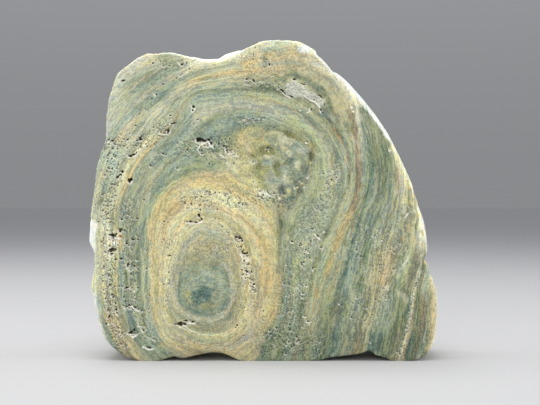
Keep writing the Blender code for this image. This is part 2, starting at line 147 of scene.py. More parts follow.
# Smaller pits in the polished face: x, z, length, width and tilt
SMALL_PITS = (
    (-29.1, 112.8, 1.6, .7, 10), (-32.3, 108.7, .8, .7, 0), (-32.9, 107.5, .8, .7, 0),
    (-31.8, 107.2, .9, .7, 0), (-31.7, 105.8, 1.2, .9, 20), (-30.8, 106.2, .9, .6, 0),
    (-19.2, 111.4, .9, .7, 20), (-18.6, 106.3, 1.2, .9, -60), (-17.2, 107.2, .9, .7, 0),
    (-16.1, 107.9, .9, .8, 0), (-14.9, 106.9, .8, .6, 0), (-17.6, 113.5, .9, .8, 0),
    (-13.2, 105.4, 1.2, .5, -20), (-15.6, 100.9, .8, .9, 0), (-27.9, 100.4, 1.1, .7, -35),
    (-38.5, 106, .8, .7, 0), (-78.3, 111.6, .9, .6, 0), (-76.9, 108.4, 1, .9, 0), (-74.6, 108.4, .9, .8, 0),
    (-75.7, 104.3, .8, .7, 0), (-71.4, 109.6, 1.1, .8, 0), (-69.6, 112.9, 1.3, 1, 90),
    (-68.6, 116, 1.1, .9, 30), (-65.4, 120.2, .9, .8, 0), (-63.5, 125.9, .8, .8, 0),
    (-62.4, 114.8, 1.1, .7, 65), (-65, 109.7, 1, .8, 90), (-64.2, 108.4, .7, .7, 0),
    (-63.1, 109.4, 1.8, .6, 40), (-60.2, 110.7, 1.1, .9, 0), (-59.1, 111.6, .8, .6, 0),
    (-58.7, 114, .7, .6, 0), (-57.2, 111.7, .9, .6, 0), (-72.8, 91.9, 1, .8, 0), (-74.2, 91.2, .8, .6, 0),
    (-76.4, 90, 1, .7, 0), (-74.5, 89.4, 1.2, .6, 40), (-76.2, 87.7, .9, .9, 0), (-54.1, 105.9, 1.1, .8, 0),
    (-51.7, 105.8, 1.9, .9, -30), (-49.7, 105.2, .8, .7, 0), (-58, 99.6, 1.1, 1, 90),
    (-53, 97.7, .9, .6, 0), (-47.8, 101.3, .9, .7, 0), (-55.4, 102.5, .8, .8, 0), (-44.4, 98.4, 1, .9, 0),
    (-48.5, 118.7, .9, .7, 0), (-50.1, 117.7, 1.2, .6, 0), (-50.8, 116.1, 1.6, .5, 0),
    (-52.6, 116.9, 1.2, .9, 0), (-47.7, 125.2, 1.6, .8, 10), (-48.3, 123.7, .9, .7, 0),
    (-54.4, 124.3, .7, .7, 0), (-76.8, 79.1, 1, .7, 90), (-79.3, 75, 1.2, .7, 90), (-81.9, 72.2, .7, .6, 0),
    (-81.8, 69.6, .7, .6, 0), (-72.6, 72.1, 1.6, .9, 10), (-70.3, 72.5, .9, .7, 0),
    (-71.2, 71.1, .7, .6, 0), (-68.8, 74.4, 1.1, 1, 0), (-67.4, 77.8, .8, .7, 0), (-72.4, 67, 1.2, .8, 0),
    (-76.9, 62.6, 1.2, .9, -60), (-73, 63.2, .9, .8, 0), (-68.8, 49.4, 1.4, .9, -10),
    (-71.1, 47.7, .7, .7, 0), (-66, 48.1, 1.2, 1, 60), (-65.6, 44.6, .9, .6, 0), (-65.6, 40.6, 1.2, .6, 0),
    (-79.4, 43.4, 1, .8, 90), (-77.8, 43.5, .8, .7, 0), (-78.4, 41.7, .8, .6, 0), (-78.3, 38.2, 1, .9, 0),
    (-79.6, 37.6, .9, .7, 90), (-74, 38.2, .9, .8, 0), (-72.7, 38.2, .9, .7, 90), (-67.2, 37.6, 2, .6, 15),
    (-66.2, 38.6, 1.2, .6, 30), (-78.8, 33.4, .8, .7, 0), (-77, 32.6, 1.2, .8, 0),
    (-76.2, 33.2, 1.6, .5, 30), (-81.2, 34.2, 1, .6, 90), (-80.8, 31.8, 1.3, .8, 90),
    (-75.7, 29.4, 1.3, .9, 0), (-78.4, 29.4, .9, .6, 0), (-70.9, 29.8, 1, .7, 0),
    (-63.8, 26.5, 1.4, .7, -35), (-62.4, 25.7, 1, .8, -35), (-75.1, 24.4, .9, .8, 90),
    (-80, 26.1, 1.2, .8, 90), (-80.4, 18.8, 1.1, .8, 90), (-75.1, 18.7, .9, .8, 0),
    (-63.4, 20, 1.3, .7, 30), (-63.3, 18.2, 1.1, .5, 0), (-83, 60.9, 1.8, .6, 90), (-84.4, 50.1, .8, .6, 0),
    (-84.4, 47.3, .7, .7, 0), (-85.9, 79.8, .8, .7, 0), (-61.2, 82.1, 1.2, .9, 0), (-64.5, 61.6, .9, .7, 0),
    (-69, 59, .9, 1, 0), (-59.9, 47, .9, 1, 0), (-60, 56.4, .7, .9, 0), (-73.1, 16.3, .8, .7, 90),
    (-76.1, 15.5, .9, .6, 90), (-72.5, 14.2, .9, .7, 0), (-71, 14.6, .6, .5, 0), (-77.2, 15, .7, .6, 0),
    (-75.6, 13.4, 1.3, .6, -65), (-77.5, 11.8, .9, .8, 0), (-70.6, 12.1, 1, .7, 90),
    (-69.6, 10.9, .7, .6, 0), (-74.2, 12, .6, .6, 0), (-72.3, 10, .6, .6, 0), (-72.9, 6, 1, .5, 0),
    (-70.6, 7.3, 1.2, .8, 70), (-75.1, 6.3, .8, .8, 0), (-64.2, 14.6, 1.2, .6, 0), (-58, 12.5, .9, .6, 0),
    (-56.4, 11.4, .9, .7, 0), (-54.9, 10.9, .6, .5, 0), (-32.6, 71.5, 1.4, .6, 30),
    (-39.1, 71.2, .8, .8, 0), (-40.3, 71.2, .9, .6, 90), (-24.7, 72.5, .9, .6, 0), (-22.5, 72.3, .7, .6, 0),
    (-21.3, 72.1, .8, .6, 0), (-21.3, 68.6, .9, .7, 0), (-17.7, 67.1, .8, .6, 0),
    (-18.4, 65.3, 1.2, .9, -40), (-17.6, 64.3, .8, .6, 0), (-16.3, 62.6, .8, .6, 0), (-45, 64.6, 1, .7, 0),
    (-48.2, 59.5, .9, .7, 90), (-46.9, 60.5, .9, .5, 0), (-50.8, 71.1, .7, .7, 0), (-12.2, 64, 1, .7, 0),
    (-11.5, 58.1, 1.3, .6, 90), (-8.6, 53.4, 1, .8, 0), (-10.2, 51.3, 1.3, .8, 0),
    (-7.3, 45.2, 1.4, .5, -10), (-9.1, 43.7, 1.3, .6, 0), (-5.4, 37.4, 1, .8, 90), (-.2, 37.4, .7, .6, 0),
    (-3.9, 29.4, .7, .6, 0), (-2.9, 28.9, .7, .6, 0), (-10, 27.4, .8, .7, 0), (0, 22.4, .8, .7, 0),
    (-.4, 20.8, .8, .8, 0), (-14.6, 17.1, 1.4, .7, 10), (-37.7, 20.9, 1.2, .7, 0), (-38.1, 16.9, .9, .7, 0),
    (-49, 39.5, 1.2, .8, 0), (-48.1, 41.3, .7, .6, 0), (-50.1, 30.5, 1, 1, 0), (-18.6, 57.4, 1, .9, 0),
    (-19.7, 57.8, .9, .5, 0), (-36.3, 14.2, .8, .6, 0), (-39.2, 11.3, 1, .6, -30), (-58.6, 33.4, .9, .8, 0),
    (-58.6, 26.4, .9, .8, 0), (-58.4, 36.8, .7, .7, 0), (-43.4, 7.4, 1.1, .8, 0), (-72, 143.1, 2.5, 1, 20),
    (-56.7, 151.9, 1.3, .9, 0), (-41.8, 151.3, 1.7, 1.1, 10), (-41.6, 146.5, .9, .6, 0),
    (-42.6, 145.7, .8, .6, 0), (-44.7, 144.5, 1.4, .7, 30), (-38, 148.8, .8, .7, 0),
    (-51.6, 141, 1, .8, 30), (-57.1, 136, .8, .6, 0), (-55, 136, 1.1, .7, 30), (-57, 133.9, 1.1, .6, 0),
    (-60.4, 128.3, 1, .6, 0), (-44.5, 121.4, .7, .6, 0), (-40.7, 124.7, .7, .6, 0), (-34, 123.2, 1, .9, 0),
    (-8.8, 143.8, 1.5, 1, 30), (4.3, 145.9, .9, .9, 0), (5.8, 146, .7, .7, 0), (1.5, 153.6, .8, .9, 0),
    (25.7, 133.2, .9, .9, 0), (29.7, 126.5, 1, .7, 90), (30.9, 130.9, 1.8, .6, -60),
    (22.1, 111.9, 1, .8, 0), (1.8, 108.5, 1.2, 1, 0), (1.1, 106.9, 1, .8, 0), (-5.5, 101.7, .8, .7, 0),
    (-5.7, 96, .7, .7, 0), (-5.3, 91.4, .7, .7, 0), (-2.4, 91, .7, .7, 0), (-3.3, 88.3, .8, .7, 0),
    (-12.9, 80.4, 1.2, .9, 0), (-12.4, 78.8, .7, .6, 0), (-24.8, 85.8, 1, .8, 0), (-29.9, 82, .7, .6, 0),
    (-27, 84.8, 1.3, .8, -20), (14.2, 60.9, 1.2, 1, 0), (21.3, 56.8, 1.1, .8, 30), (22.8, 57.3, .9, .7, 0),
    (23.4, 52.5, 1.6, .6, -20), (11.9, 49.2, .8, .7, 0), (20.3, 48.3, 1.2, .6, -50),
    (23.2, 41.2, .8, .7, 0), (21.5, 40.2, .9, .6, 0), (21.3, 38.6, .9, .7, 0), (19.8, 34.5, 1.3, .9, -30),
    (19.7, 32.8, 1, .9, 0), (20.7, 22.9, 1.1, .8, -20), (16.3, 21.7, 1.2, .7, 30), (15.5, 25.3, .7, .6, 0),
    (13.4, 16, 1.8, .8, 90), (14, 7.3, 1.8, .7, 90), (.6, 4.5, 1, .6, 0), (2.5, 4.4, .9, .6, 0),
    (6.5, 16.8, 1.6, .8, 20), (1, 11.2, .9, .6, 0), (51.2, 20.8, .9, .7, 0), (53, 18.6, 1.6, .6, 0),
    (54.2, 10.5, .9, .6, -40), (56.3, 17.1, .7, .6, 0), (74.9, 28.8, 1.2, 1, 0), (71.3, 10.8, .8, .7, 0),
    (61.5, 31.4, .8, .6, -30), (62.6, 36.4, .9, .6, -40), (39.5, 28.2, .8, .7, 0),
)

# Pale linings at the edges of pits and in cracks, partly chalk and partly painted highlight on the lower lips
# of pits, where top light falls: points x, z, width and strength
LININGS_AND_LIT_LIPS = (
    (((-34.9, 112.4), (-34.3, 111.2), (-33.3, 110.5), (-32.9, 109.2), (-33.7, 107.6), (-33, 106.5),
      (-32.5, 105.1), (-31.2, 105), (-30.2, 105.4)), .7, 1),
    (((-32.6, 110.6), (-31.3, 110.6), (-30.1, 111), (-29, 111.9), (-28.2, 111.3), (-27.9, 110.2),
      (-27.2, 109.4), (-26, 109.3)), .6, 1),
    (((-19.9, 108), (-19.5, 106.6), (-18.6, 105.3)), .55, .9),
    (((-22.2, 104.9), (-20, 103.6), (-18, 103.5)), .6, .8),
    (((-19.9, 110.4), (-18.9, 110.6)), .5, .8), (((-17.2, 105.4), (-15.9, 105.8)), .55, .8),
    (((-14.6, 104.8), (-12.9, 104.2)), .55, .7), (((-19.1, 101.4), (-18, 100.2)), .5, .7),
    (((-79.8, 111.5), (-78.6, 111.2)), .7, 1),
    (((-65.6, 106.4), (-63, 108.6), (-61.4, 109.8), (-60, 110.1)), .5, .8),
    (((-68.7, 103.6), (-66.2, 104.3), (-64.6, 106)), .55, .8),
    (((-69, 90.8), (-67.6, 90.6), (-66.9, 92)), .6, .8),
    (((-54.1, 116), (-51.9, 115.3), (-49.7, 115.5), (-47.8, 116.9)), .55, .8),
    (((-75.8, 62.6), (-73.4, 62.4)), .8, .9), (((-79.2, 65.4), (-78, 61.2)), .5, .6),
    (((-80, 53.1), (-78.6, 53.5), (-76.6, 53.7)), .55, .8),
    (((-70.2, 47.3), (-69, 46), (-67.8, 45.7), (-66.6, 46.5)), .5, .8),
    (((-68.2, 36.6), (-67, 35.8), (-66, 35.2)), .5, .7),
    (((-71.2, 26.7), (-69, 27.1), (-67.4, 27.8), (-66, 26.1), (-63.8, 25.3), (-62.4, 25)), .55, .9),
    (((-76.2, 25.8), (-75.2, 23.5), (-74.3, 22.7)), .5, .8),
    (((-69.8, 13.9), (-68.3, 12.8), (-66.7, 12), (-65.3, 13), (-64, 13.9)), .8, 1),
    (((-62.6, 15.8), (-61.8, 14.9)), .55, .9), (((-64.5, 17.5), (-62.4, 17.4)), .55, .7),
    (((-57.2, 12.4), (-56.6, 12.3)), .6, .9), (((-58.8, 11.7), (-55.5, 10)), .5, .6),
    (((-61.7, 7), (-60.1, 6.2), (-58.4, 5.6), (-56.8, 6)), .6, 1),
    (((-39.7, 70.3), (-37.9, 69.9), (-34.2, 70.1), (-31.5, 70.8)), .55, .8),
    (((-12.2, 54.5), (-11.1, 52.7), (-9.3, 51.3), (-7.5, 50.8)), .6, .9),
    (((-12, 43.6), (-10.2, 42.5), (-8.4, 43.4)), .55, .8), (((-43.3, 17.1), (-39.7, 16)), .5, .7),
    (((-38, 15.6), (-36, 14.7)), .5, .7), (((-38.8, 19.3), (-35.4, 19)), .8, .8),
    (((-44.1, 152.4), (-42.9, 150.9)), .5, .8), (((-43.4, 144.7), (-41.6, 145.4), (-38.9, 147.2)), .5, .6),
    (((-56.2, 136), (-55.3, 134.9)), .5, .8),
    (((-37.4, 130.3), (-37, 128.8), (-37.1, 127.5), (-36.4, 126.8), (-35.3, 128.5)), .55, .9),
    (((7.3, 138.6), (10.9, 135.5), (14.7, 133.4)), .6, .8),
    (((23.6, 133), (25.5, 132.3), (27.8, 130.5), (28.5, 129)), .6, .9),
    (((23, 128.6), (23.4, 127.2), (22, 126.6)), .55, .8), (((28.3, 127.9), (29.1, 126)), .5, .8),
    (((13.4, 140.1), (16.9, 137.8)), .4, .5), (((20.1, 135.5), (22.9, 133.4)), .5, .7),
    (((-2.2, 85.4), (-.6, 84)), .5, .7), (((1, 85.6), (2.6, 84.4)), .55, .8),
    (((3.2, 84.2), (5.2, 83.2)), .55, .8), (((7.4, 83.6), (8.2, 82.6)), .6, .9),
    (((25.5, 66.7), (24, 66.9)), .5, .8), (((25.6, 64.9), (26.6, 63.8), (28.3, 62)), .5, 1),
    (((13.5, 60.3), (15, 60)), .5, .9), (((20.8, 56.4), (21.8, 55.5), (22.5, 54.8)), .5, .9),
    (((22.6, 52), (24, 51.5)), .5, .8), (((24.7, 46.2), (24.9, 45.6)), .55, .8),
    (((20.7, 38), (22, 37.8)), .5, .9), (((19.5, 33.8), (20.7, 33.8)), .5, .8),
    (((19.2, 31.8), (19.9, 31.7)), .5, .8), (((16.5, 37.6), (18.7, 35.3)), .4, .5),
    (((20.1, 22.4), (21.3, 22.2)), .5, .8), (((21.4, 20.2), (22.2, 19.2), (23.2, 18.3)), .5, 1),
    (((22.7, 19.3), (24.5, 19.8)), .4, .8), (((60.9, 32.4), (62.2, 31)), .4, .7),
    (((61.9, 37.4), (63.2, 36.2)), .5, .8), (((53.2, 9.4), (54.4, 9)), .4, .7),
    (((71, 49), (72.6, 51.2), (73.6, 54)), .5, .6), (((72.2, 73.2), (73.3, 75)), .7, .9),
)

# Pits in the sawn back, in the same order of values as those of the polished face
BACK_PITS = (
    (-66, 96, 4.0, 1.8, 60, 2.2), (-72, 58, 3.2, 2.0, 80, 2.2), (-64, 30, 2.6, 1.6, 70, 1.8),
    (-41, 118, 3.4, 1.6, 35, 2.0), (-12, 128, 4.2, 1.6, -8, 2.0), (24, 116, 3.0, 1.6, -40, 1.8),
    (-20, 62, 3.0, 1.8, 30, 2.0), (-8, 30, 2.8, 1.6, 70, 1.8), (31, 58, 2.8, 1.4, 65, 1.6),
    (58, 40, 2.4, 1.4, 75, 1.6), (46, 92, 2.8, 1.3, 85, 1.6), (-44, 22, 3.4, 1.5, -25, 1.8),
)

# Pits in the flank: share of the way round the rim, share of the thickness, length, width and depth
FLANK_PITS = (
    (0.34, 0.62, 5.0, 3.4, 2.4), (0.385, 0.44, 3.6, 2.4, 1.8), (0.43, 0.72, 4.4, 3.0, 2.2),
    (0.485, 0.55, 5.2, 3.0, 2.4), (0.53, 0.40, 3.4, 2.6, 1.8), (0.57, 0.70, 6.0, 3.2, 2.6),
    (0.625, 0.50, 4.6, 3.4, 2.4), (0.68, 0.66, 5.6, 3.6, 2.8), (0.715, 0.42, 3.8, 2.4, 2.0),
    (0.76, 0.60, 5.0, 3.0, 2.4), (0.81, 0.46, 6.4, 3.4, 2.8), (0.835, 0.74, 4.2, 2.8, 2.0),
    (0.875, 0.56, 5.4, 3.2, 2.4), (0.915, 0.68, 4.0, 2.6, 2.0),
)

# Guide points x, z on the growth layers, by the number of the layer, counted outwards from the nucleus
GROWTH_LINES = {
    0: ((-31.5, 34.5),),
    6: ((-37, 33), (-33, 41), (-25, 40), (-24.5, 32), (-30, 29)),
    12: ((-43.5, 34), (-42, 29), (-38, 26.3), (-33, 24.8), (-28, 24.3), (-23, 25.5), (-19.5, 29),
         (-18.4, 34), (-18.5, 39), (-20, 43.5), (-24, 47), (-30, 48.4), (-36, 47.3), (-40.3, 44),
         (-42.8, 39.5)),
    17: ((-46.8, 40), (-46.3, 47), (-44.7, 54), (-42, 60), (-37.5, 65.2), (-30, 68), (-22.5, 66),
         (-17, 60), (-14.3, 53), (-13.3, 45), (-13.4, 37), (-14.4, 29), (-17, 22.5), (-22, 18.5),
         (-28, 17.2), (-34, 18), (-39.5, 21.5), (-43.5, 26.5), (-46, 33)),
    22: ((-50, 38), (-50.4, 45), (-49.3, 52), (-47.4, 58), (-45, 64), (-40.5, 69), (-35, 71.6),
         (-30, 72.6), (-25, 72), (-20, 69.5), (-16, 65.5), (-12.5, 60.5), (-10.4, 54.5), (-9.4, 48),
         (-9.2, 40), (-9.6, 33), (-10.8, 27), (-13, 21.5), (-16.5, 16.5), (-21, 13.8), (-27, 12.8),
         (-33, 13.5), (-38.5, 16), (-43, 19.2), (-46, 23), (-48.5, 28), (-49.8, 33)),
    26: ((-53.5, 36), (-53.5, 44), (-52.6, 52), (-51, 60), (-48.5, 67), (-44.5, 72.5), (-39, 76),
         (-33, 77.6), (-27, 77.4), (-21, 75.6), (-15, 72), (-9.7, 67), (-5.8, 61), (-3, 54), (-1.8, 47),
         (-1.6, 39), (-2.7, 30), (-5, 21), (-9.5, 13.5), (-16, 9.7), (-23, 8.2), (-30, 8.6),
         (-37, 10.4), (-44, 13.7), (-49, 18.6), (-52, 25), (-53.2, 31)),
    30: ((-55.9, 40), (-55.6, 50), (-54.9, 60), (-53, 69), (-49.5, 77), (-44, 82), (-37, 84.9),
         (-30, 85.6), (-23, 84.5), (-16, 81.5), (-10, 77.5), (-5, 73), (0, 67.5), (3, 60), (4, 52),
         (3.8, 44), (2.8, 35), (0.4, 25), (-3.5, 15), (-9, 7.5), (-16, 3), (-33, 4), (-40, 5.8),
         (-46, 9), (-51, 14), (-54.3, 22), (-55.6, 31)),
    33: ((-58.3, 45), (-58.2, 55), (-57.7, 65), (-56, 74), (-52.7, 82), (-47.5, 88), (-41, 91.2),
         (-33, 92.8), (-25, 92.3), (-17, 89.8), (-10, 86), (-4, 81.5), (1.5, 75.5), (5, 68), (6.5, 60),
         (6.8, 50), (6.4, 40), (5.2, 30), (3, 21), (0, 13), (-4, 5.5), (-51, 10), (-56, 20), (-58, 32)),
    36: ((-60.2, 30), (-60.5, 45), (-60, 60), (-58.8, 72), (-55.5, 82), (-50.5, 88.7), (-44, 94),
         (-37, 97.5), (-29, 99.5), (-21, 100.7), (-15, 100.5), (-10, 98.5), (-4, 93.5), (1.5, 86.5),
         (6, 80.5), (8.4, 74), (9, 67), (8.9, 58), (8.7, 48), (8.6, 40), (8.3, 32), (7.2, 24),
         (4.3, 18), (0.8, 13.5), (-1.2, 8), (-2.8, 1.5), (-58.6, 22), (-56, 15), (-51.8, 9.5),
         (-47, 5.7), (-42, 2.7)),
    39: ((-63, 45), (-62.5, 60), (-61.5, 72), (-58.5, 84), (-53.5, 93), (-46.5, 99.5), (-39, 105),
         (-31, 110.5), (-24, 116), (-18, 120), (-12, 122), (-5, 122.3), (3, 121.2), (10, 118.6),
         (17, 115), (22, 110.6), (24.9, 105.5), (25.5, 99.5), (25, 94), (23, 88), (19.2, 82.5),
         (15.5, 76), (12.4, 68), (11.2, 58), (11, 47), (11, 36), (10, 26), (7, 18.5), (3.3, 12.5),
         (1.6, 6)),
    43: ((-66.8, 30), (-67, 45), (-67, 60), (-66.4, 71), (-64.3, 81), (-60.8, 90), (-56, 97.5),
         (-50, 103.5), (-43.5, 109.5), (-38, 115.5), (-33, 121), (-27.5, 125), (-20, 127.6),
         (-10, 127.9), (0, 126.5), (8, 123.8), (15, 120.2), (21, 115.8), (25.6, 110), (28.2, 104),
         (29, 97), (28.3, 90), (25.8, 83), (21.5, 76), (17.5, 69), (15, 60), (14.2, 50), (14, 40),
         (13.6, 30), (12, 21), (9.3, 13), (7.5, 5), (-65.5, 20), (-62.8, 13), (-58.7, 7), (-53.5, 2.3)),
    46: ((-70.2, 30), (-70.5, 45), (-70.3, 60), (-69.8, 72), (-67.5, 83), (-63.8, 92), (-58.5, 100.3),
         (-52.5, 107), (-46.5, 113), (-41.5, 119), (-37.5, 124.5), (-33, 128.8), (-27, 131.2),
         (-18, 132.3), (-8, 132), (2, 131), (10, 128.6), (18, 124.5), (24.6, 119.4), (29.6, 113),
         (32.9, 105.5), (34.2, 97), (34, 89), (31.8, 81), (28, 73), (23.5, 66), (20, 57), (18, 47),
         (17.2, 37), (16, 27), (14, 17), (11.8, 8)),
    50: ((-73.5, 30), (-74, 45), (-74, 60), (-73.8, 72), (-71.5, 83), (-67.5, 93), (-62.5, 102),
         (-57.3, 108.6), (-52, 113.8), (-47.5, 119), (-44, 124), (-41.3, 128.5), (-38.3, 132),
         (-34.2, 134.5), (-28, 136), (-19, 136.6), (-10, 136.4), (0, 135.6), (8, 133.8), (15, 131),
         (22, 127.2), (28, 122.4), (33, 116.4), (36.6, 110), (38.6, 103), (39.3, 96), (39, 88),
         (36.8, 80), (33.5, 72), (29, 64), (24.8, 56), (22.4, 48), (21.2, 38), (20.3, 28), (18.3, 18),
         (15.8, 8), (-72, 20), (-69.6, 13), (-66, 7), (-61.3, 1.8)),
    54: ((-77.2, 40), (-77.6, 55), (-77.4, 70), (-75, 83), (-71, 93), (-66, 102), (-60.5, 109.5),
         (-55, 115.5), (-50.3, 121), (-46.8, 126), (-43.8, 130.8), (-40.3, 134.6), (-36, 137.2),
         (-30, 138.9), (-20, 139.5), (-10, 139.7), (0, 139.5), (10, 138), (18, 135), (25.5, 130.6),
         (31, 125.6), (33.6, 122.4), (36.8, 117.6), (40.2, 111), (42.2, 104.5), (43.3, 98), (43.3, 90),
         (41.8, 82), (38.8, 74), (34.5, 66), (30.5, 59), (27.3, 52), (25.4, 45), (24.4, 36), (23, 26),
         (20.8, 16), (18.5, 6), (-76, 20), (-73.4, 12), (-69, 5.5)),
    57: ((-80.3, 40), (-80.8, 55), (-80.6, 70), (-78.6, 83), (-75, 93), (-70.5, 102), (-65.5, 110),
         (-60, 117), (-54.7, 123), (-50.3, 128.3), (-46.5, 133), (-42.3, 137), (-37, 140), (-31, 141.8),
         (-22, 142.7), (-10, 143.2), (0, 143.2), (10, 142), (19, 139.3), (27, 134.6), (34, 128.4),
         (39.3, 121.5), (43.2, 114), (45.4, 106.5), (46.3, 98), (46, 89), (44.3, 81), (41.5, 74),
         (37.3, 66), (33.3, 58.5), (30, 51), (27.6, 43), (26.2, 35), (24.4, 25), (22.2, 15), (20, 5),
         (-79, 22), (-76.6, 13), (-72.3, 6.5)),
    60: ((-83.3, 45), (-83.8, 60), (-83.4, 72), (-81.2, 85), (-77.4, 96), (-72.3, 106), (-66.5, 114.5),
         (-60.5, 121.5), (-54.7, 127.7), (-49.5, 132.7), (-44.8, 137), (-39.5, 140.8), (-33.5, 143.4),
         (-27, 145), (-18, 146.3), (-8, 147.3), (3, 148.3), (14, 149.3), (24, 148.6), (32, 145.2),
         (38, 140), (42.3, 133.4), (45.3, 126), (46.9, 118.5), (48, 110), (48.7, 102), (48.9, 94),
         (48.4, 86), (46.7, 79.5), (43.7, 73.2), (40.2, 67.4), (37, 61), (34.9, 55), (32.8, 49),
         (30.4, 43), (28.6, 36), (26.6, 28), (24.4, 18), (22.4, 8)),
    66: ((-89, 78), (-86.3, 92), (-82.3, 104), (-76.8, 113.5), (-70.5, 121.5), (-64, 128.4),
         (-57.8, 134), (-51.5, 139), (-45, 143.3), (-38, 146.8), (-30, 149.3), (-20, 151), (-8, 152.3),
         (4, 153.5), (15, 154.3), (26, 153.2), (54.6, 106), (54.6, 98), (54, 90), (52.5, 83),
         (50.2, 77), (47.7, 71), (45.5, 64), (43.4, 56), (41.9, 49), (40.3, 43), (38.7, 36.5),
         (36.9, 29), (34.8, 21), (32.6, 13), (30.6, 5)),
    70: ((58.8, 104), (59, 95), (58.4, 86), (56.5, 79), (54, 72), (51.1, 64), (48.6, 56), (46.6, 49),
         (44.9, 43), (43, 36), (41.3, 29), (39.6, 21), (37.6, 13), (35.8, 6), (52, 128), (56, 118)),
    72: ((-78.5, 122), (-72.5, 129), (-66, 135), (-59.3, 140), (-52, 144.8), (-44, 149), (-36, 152.3),
         (-20, 156), (-5, 158), (8, 159), (20, 158.5)),
    74: ((62.6, 98), (62.4, 88), (60.5, 79), (57.8, 71), (54.9, 63), (52.4, 55), (50.5, 47), (48.9, 39),
         (47.3, 31), (45.6, 23), (43.6, 14), (41.8, 6), (60.5, 110), (57, 121)),
    78: ((66, 98), (65.9, 88), (64.5, 79), (62, 71), (59.4, 63), (57.2, 54), (55.7, 46), (54.5, 38),
         (53.2, 30), (51.6, 22), (49.8, 14), (48, 6), (64.3, 108), (60.5, 119)),
    80: ((-77, 138), (-69.5, 143.5), (-61, 148.5), (-52, 152.5), (-42, 155)),
    84: ((69.8, 93), (69.6, 84), (68.4, 76), (66.7, 68), (65, 60), (63.4, 52), (62, 44), (60.8, 36),
         (59.4, 28), (57.8, 20), (56, 12), (54.2, 5)),
    90: ((75.8, 82), (76.8, 72), (76.4, 62), (74.8, 54.5), (72.3, 48), (70, 42), (68, 35), (66.5, 28),
         (65.3, 21), (64, 13), (62.5, 5)),
    94: ((79.5, 68), (79.3, 60), (78, 52), (75.8, 45), (73.7, 38), (72.4, 30), (71.2, 22), (69.4, 14),
         (67.3, 6)),
    97: ((80.4, 50), (78.5, 43), (77, 38), (76, 32), (75, 26), (73.9, 19), (72, 12), (70, 5)),
    101: ((82, 50), (81, 44), (79.7, 38), (78.9, 32), (78.3, 25), (77.3, 18), (75.5, 10), (73.6, 3)),
    105: ((84, 43), (83.2, 34), (82.8, 26), (82, 18), (80.4, 10), (78.6, 3)),
    109: ((86.9, 35), (87.2, 27), (86.5, 18), (85, 10)),
}

# Pigments of the stone: linear colour of the middle tone
PIGMENTS = {
    "deep": (0.10, 0.17, 0.125),
    "ink": (0.09, 0.165, 0.145),
    "forest": (0.15, 0.19, 0.107),
    "teal": (0.24, 0.31, 0.23),
    "blue": (0.31, 0.39, 0.31),
    "green": (0.27, 0.32, 0.18),
    "sage": (0.366, 0.418, 0.283),
    "lime": (0.41, 0.46, 0.25),
    "mist": (0.445, 0.479, 0.352),
    "lilac": (0.49, 0.49, 0.36),
    "pale": (0.56, 0.58, 0.41),
    "cream": (0.62, 0.59, 0.36),
    "butter": (0.54, 0.50, 0.25),
    "tan": (0.565, 0.468, 0.27),
    "ochre": (0.58, 0.455, 0.21),
    "khaki": (0.435, 0.413, 0.246),
    "drab": (0.34, 0.34, 0.21),
    "brown": (0.35, 0.29, 0.18),
    "olive": (0.28, 0.28, 0.114),
    "moss": (0.21, 0.22, 0.06),
    "rust": (0.36, 0.19, 0.06),
    "chalk": (0.75, 0.72, 0.55),
    "white_and_highlight": (0.86, 0.88, 0.78),
}
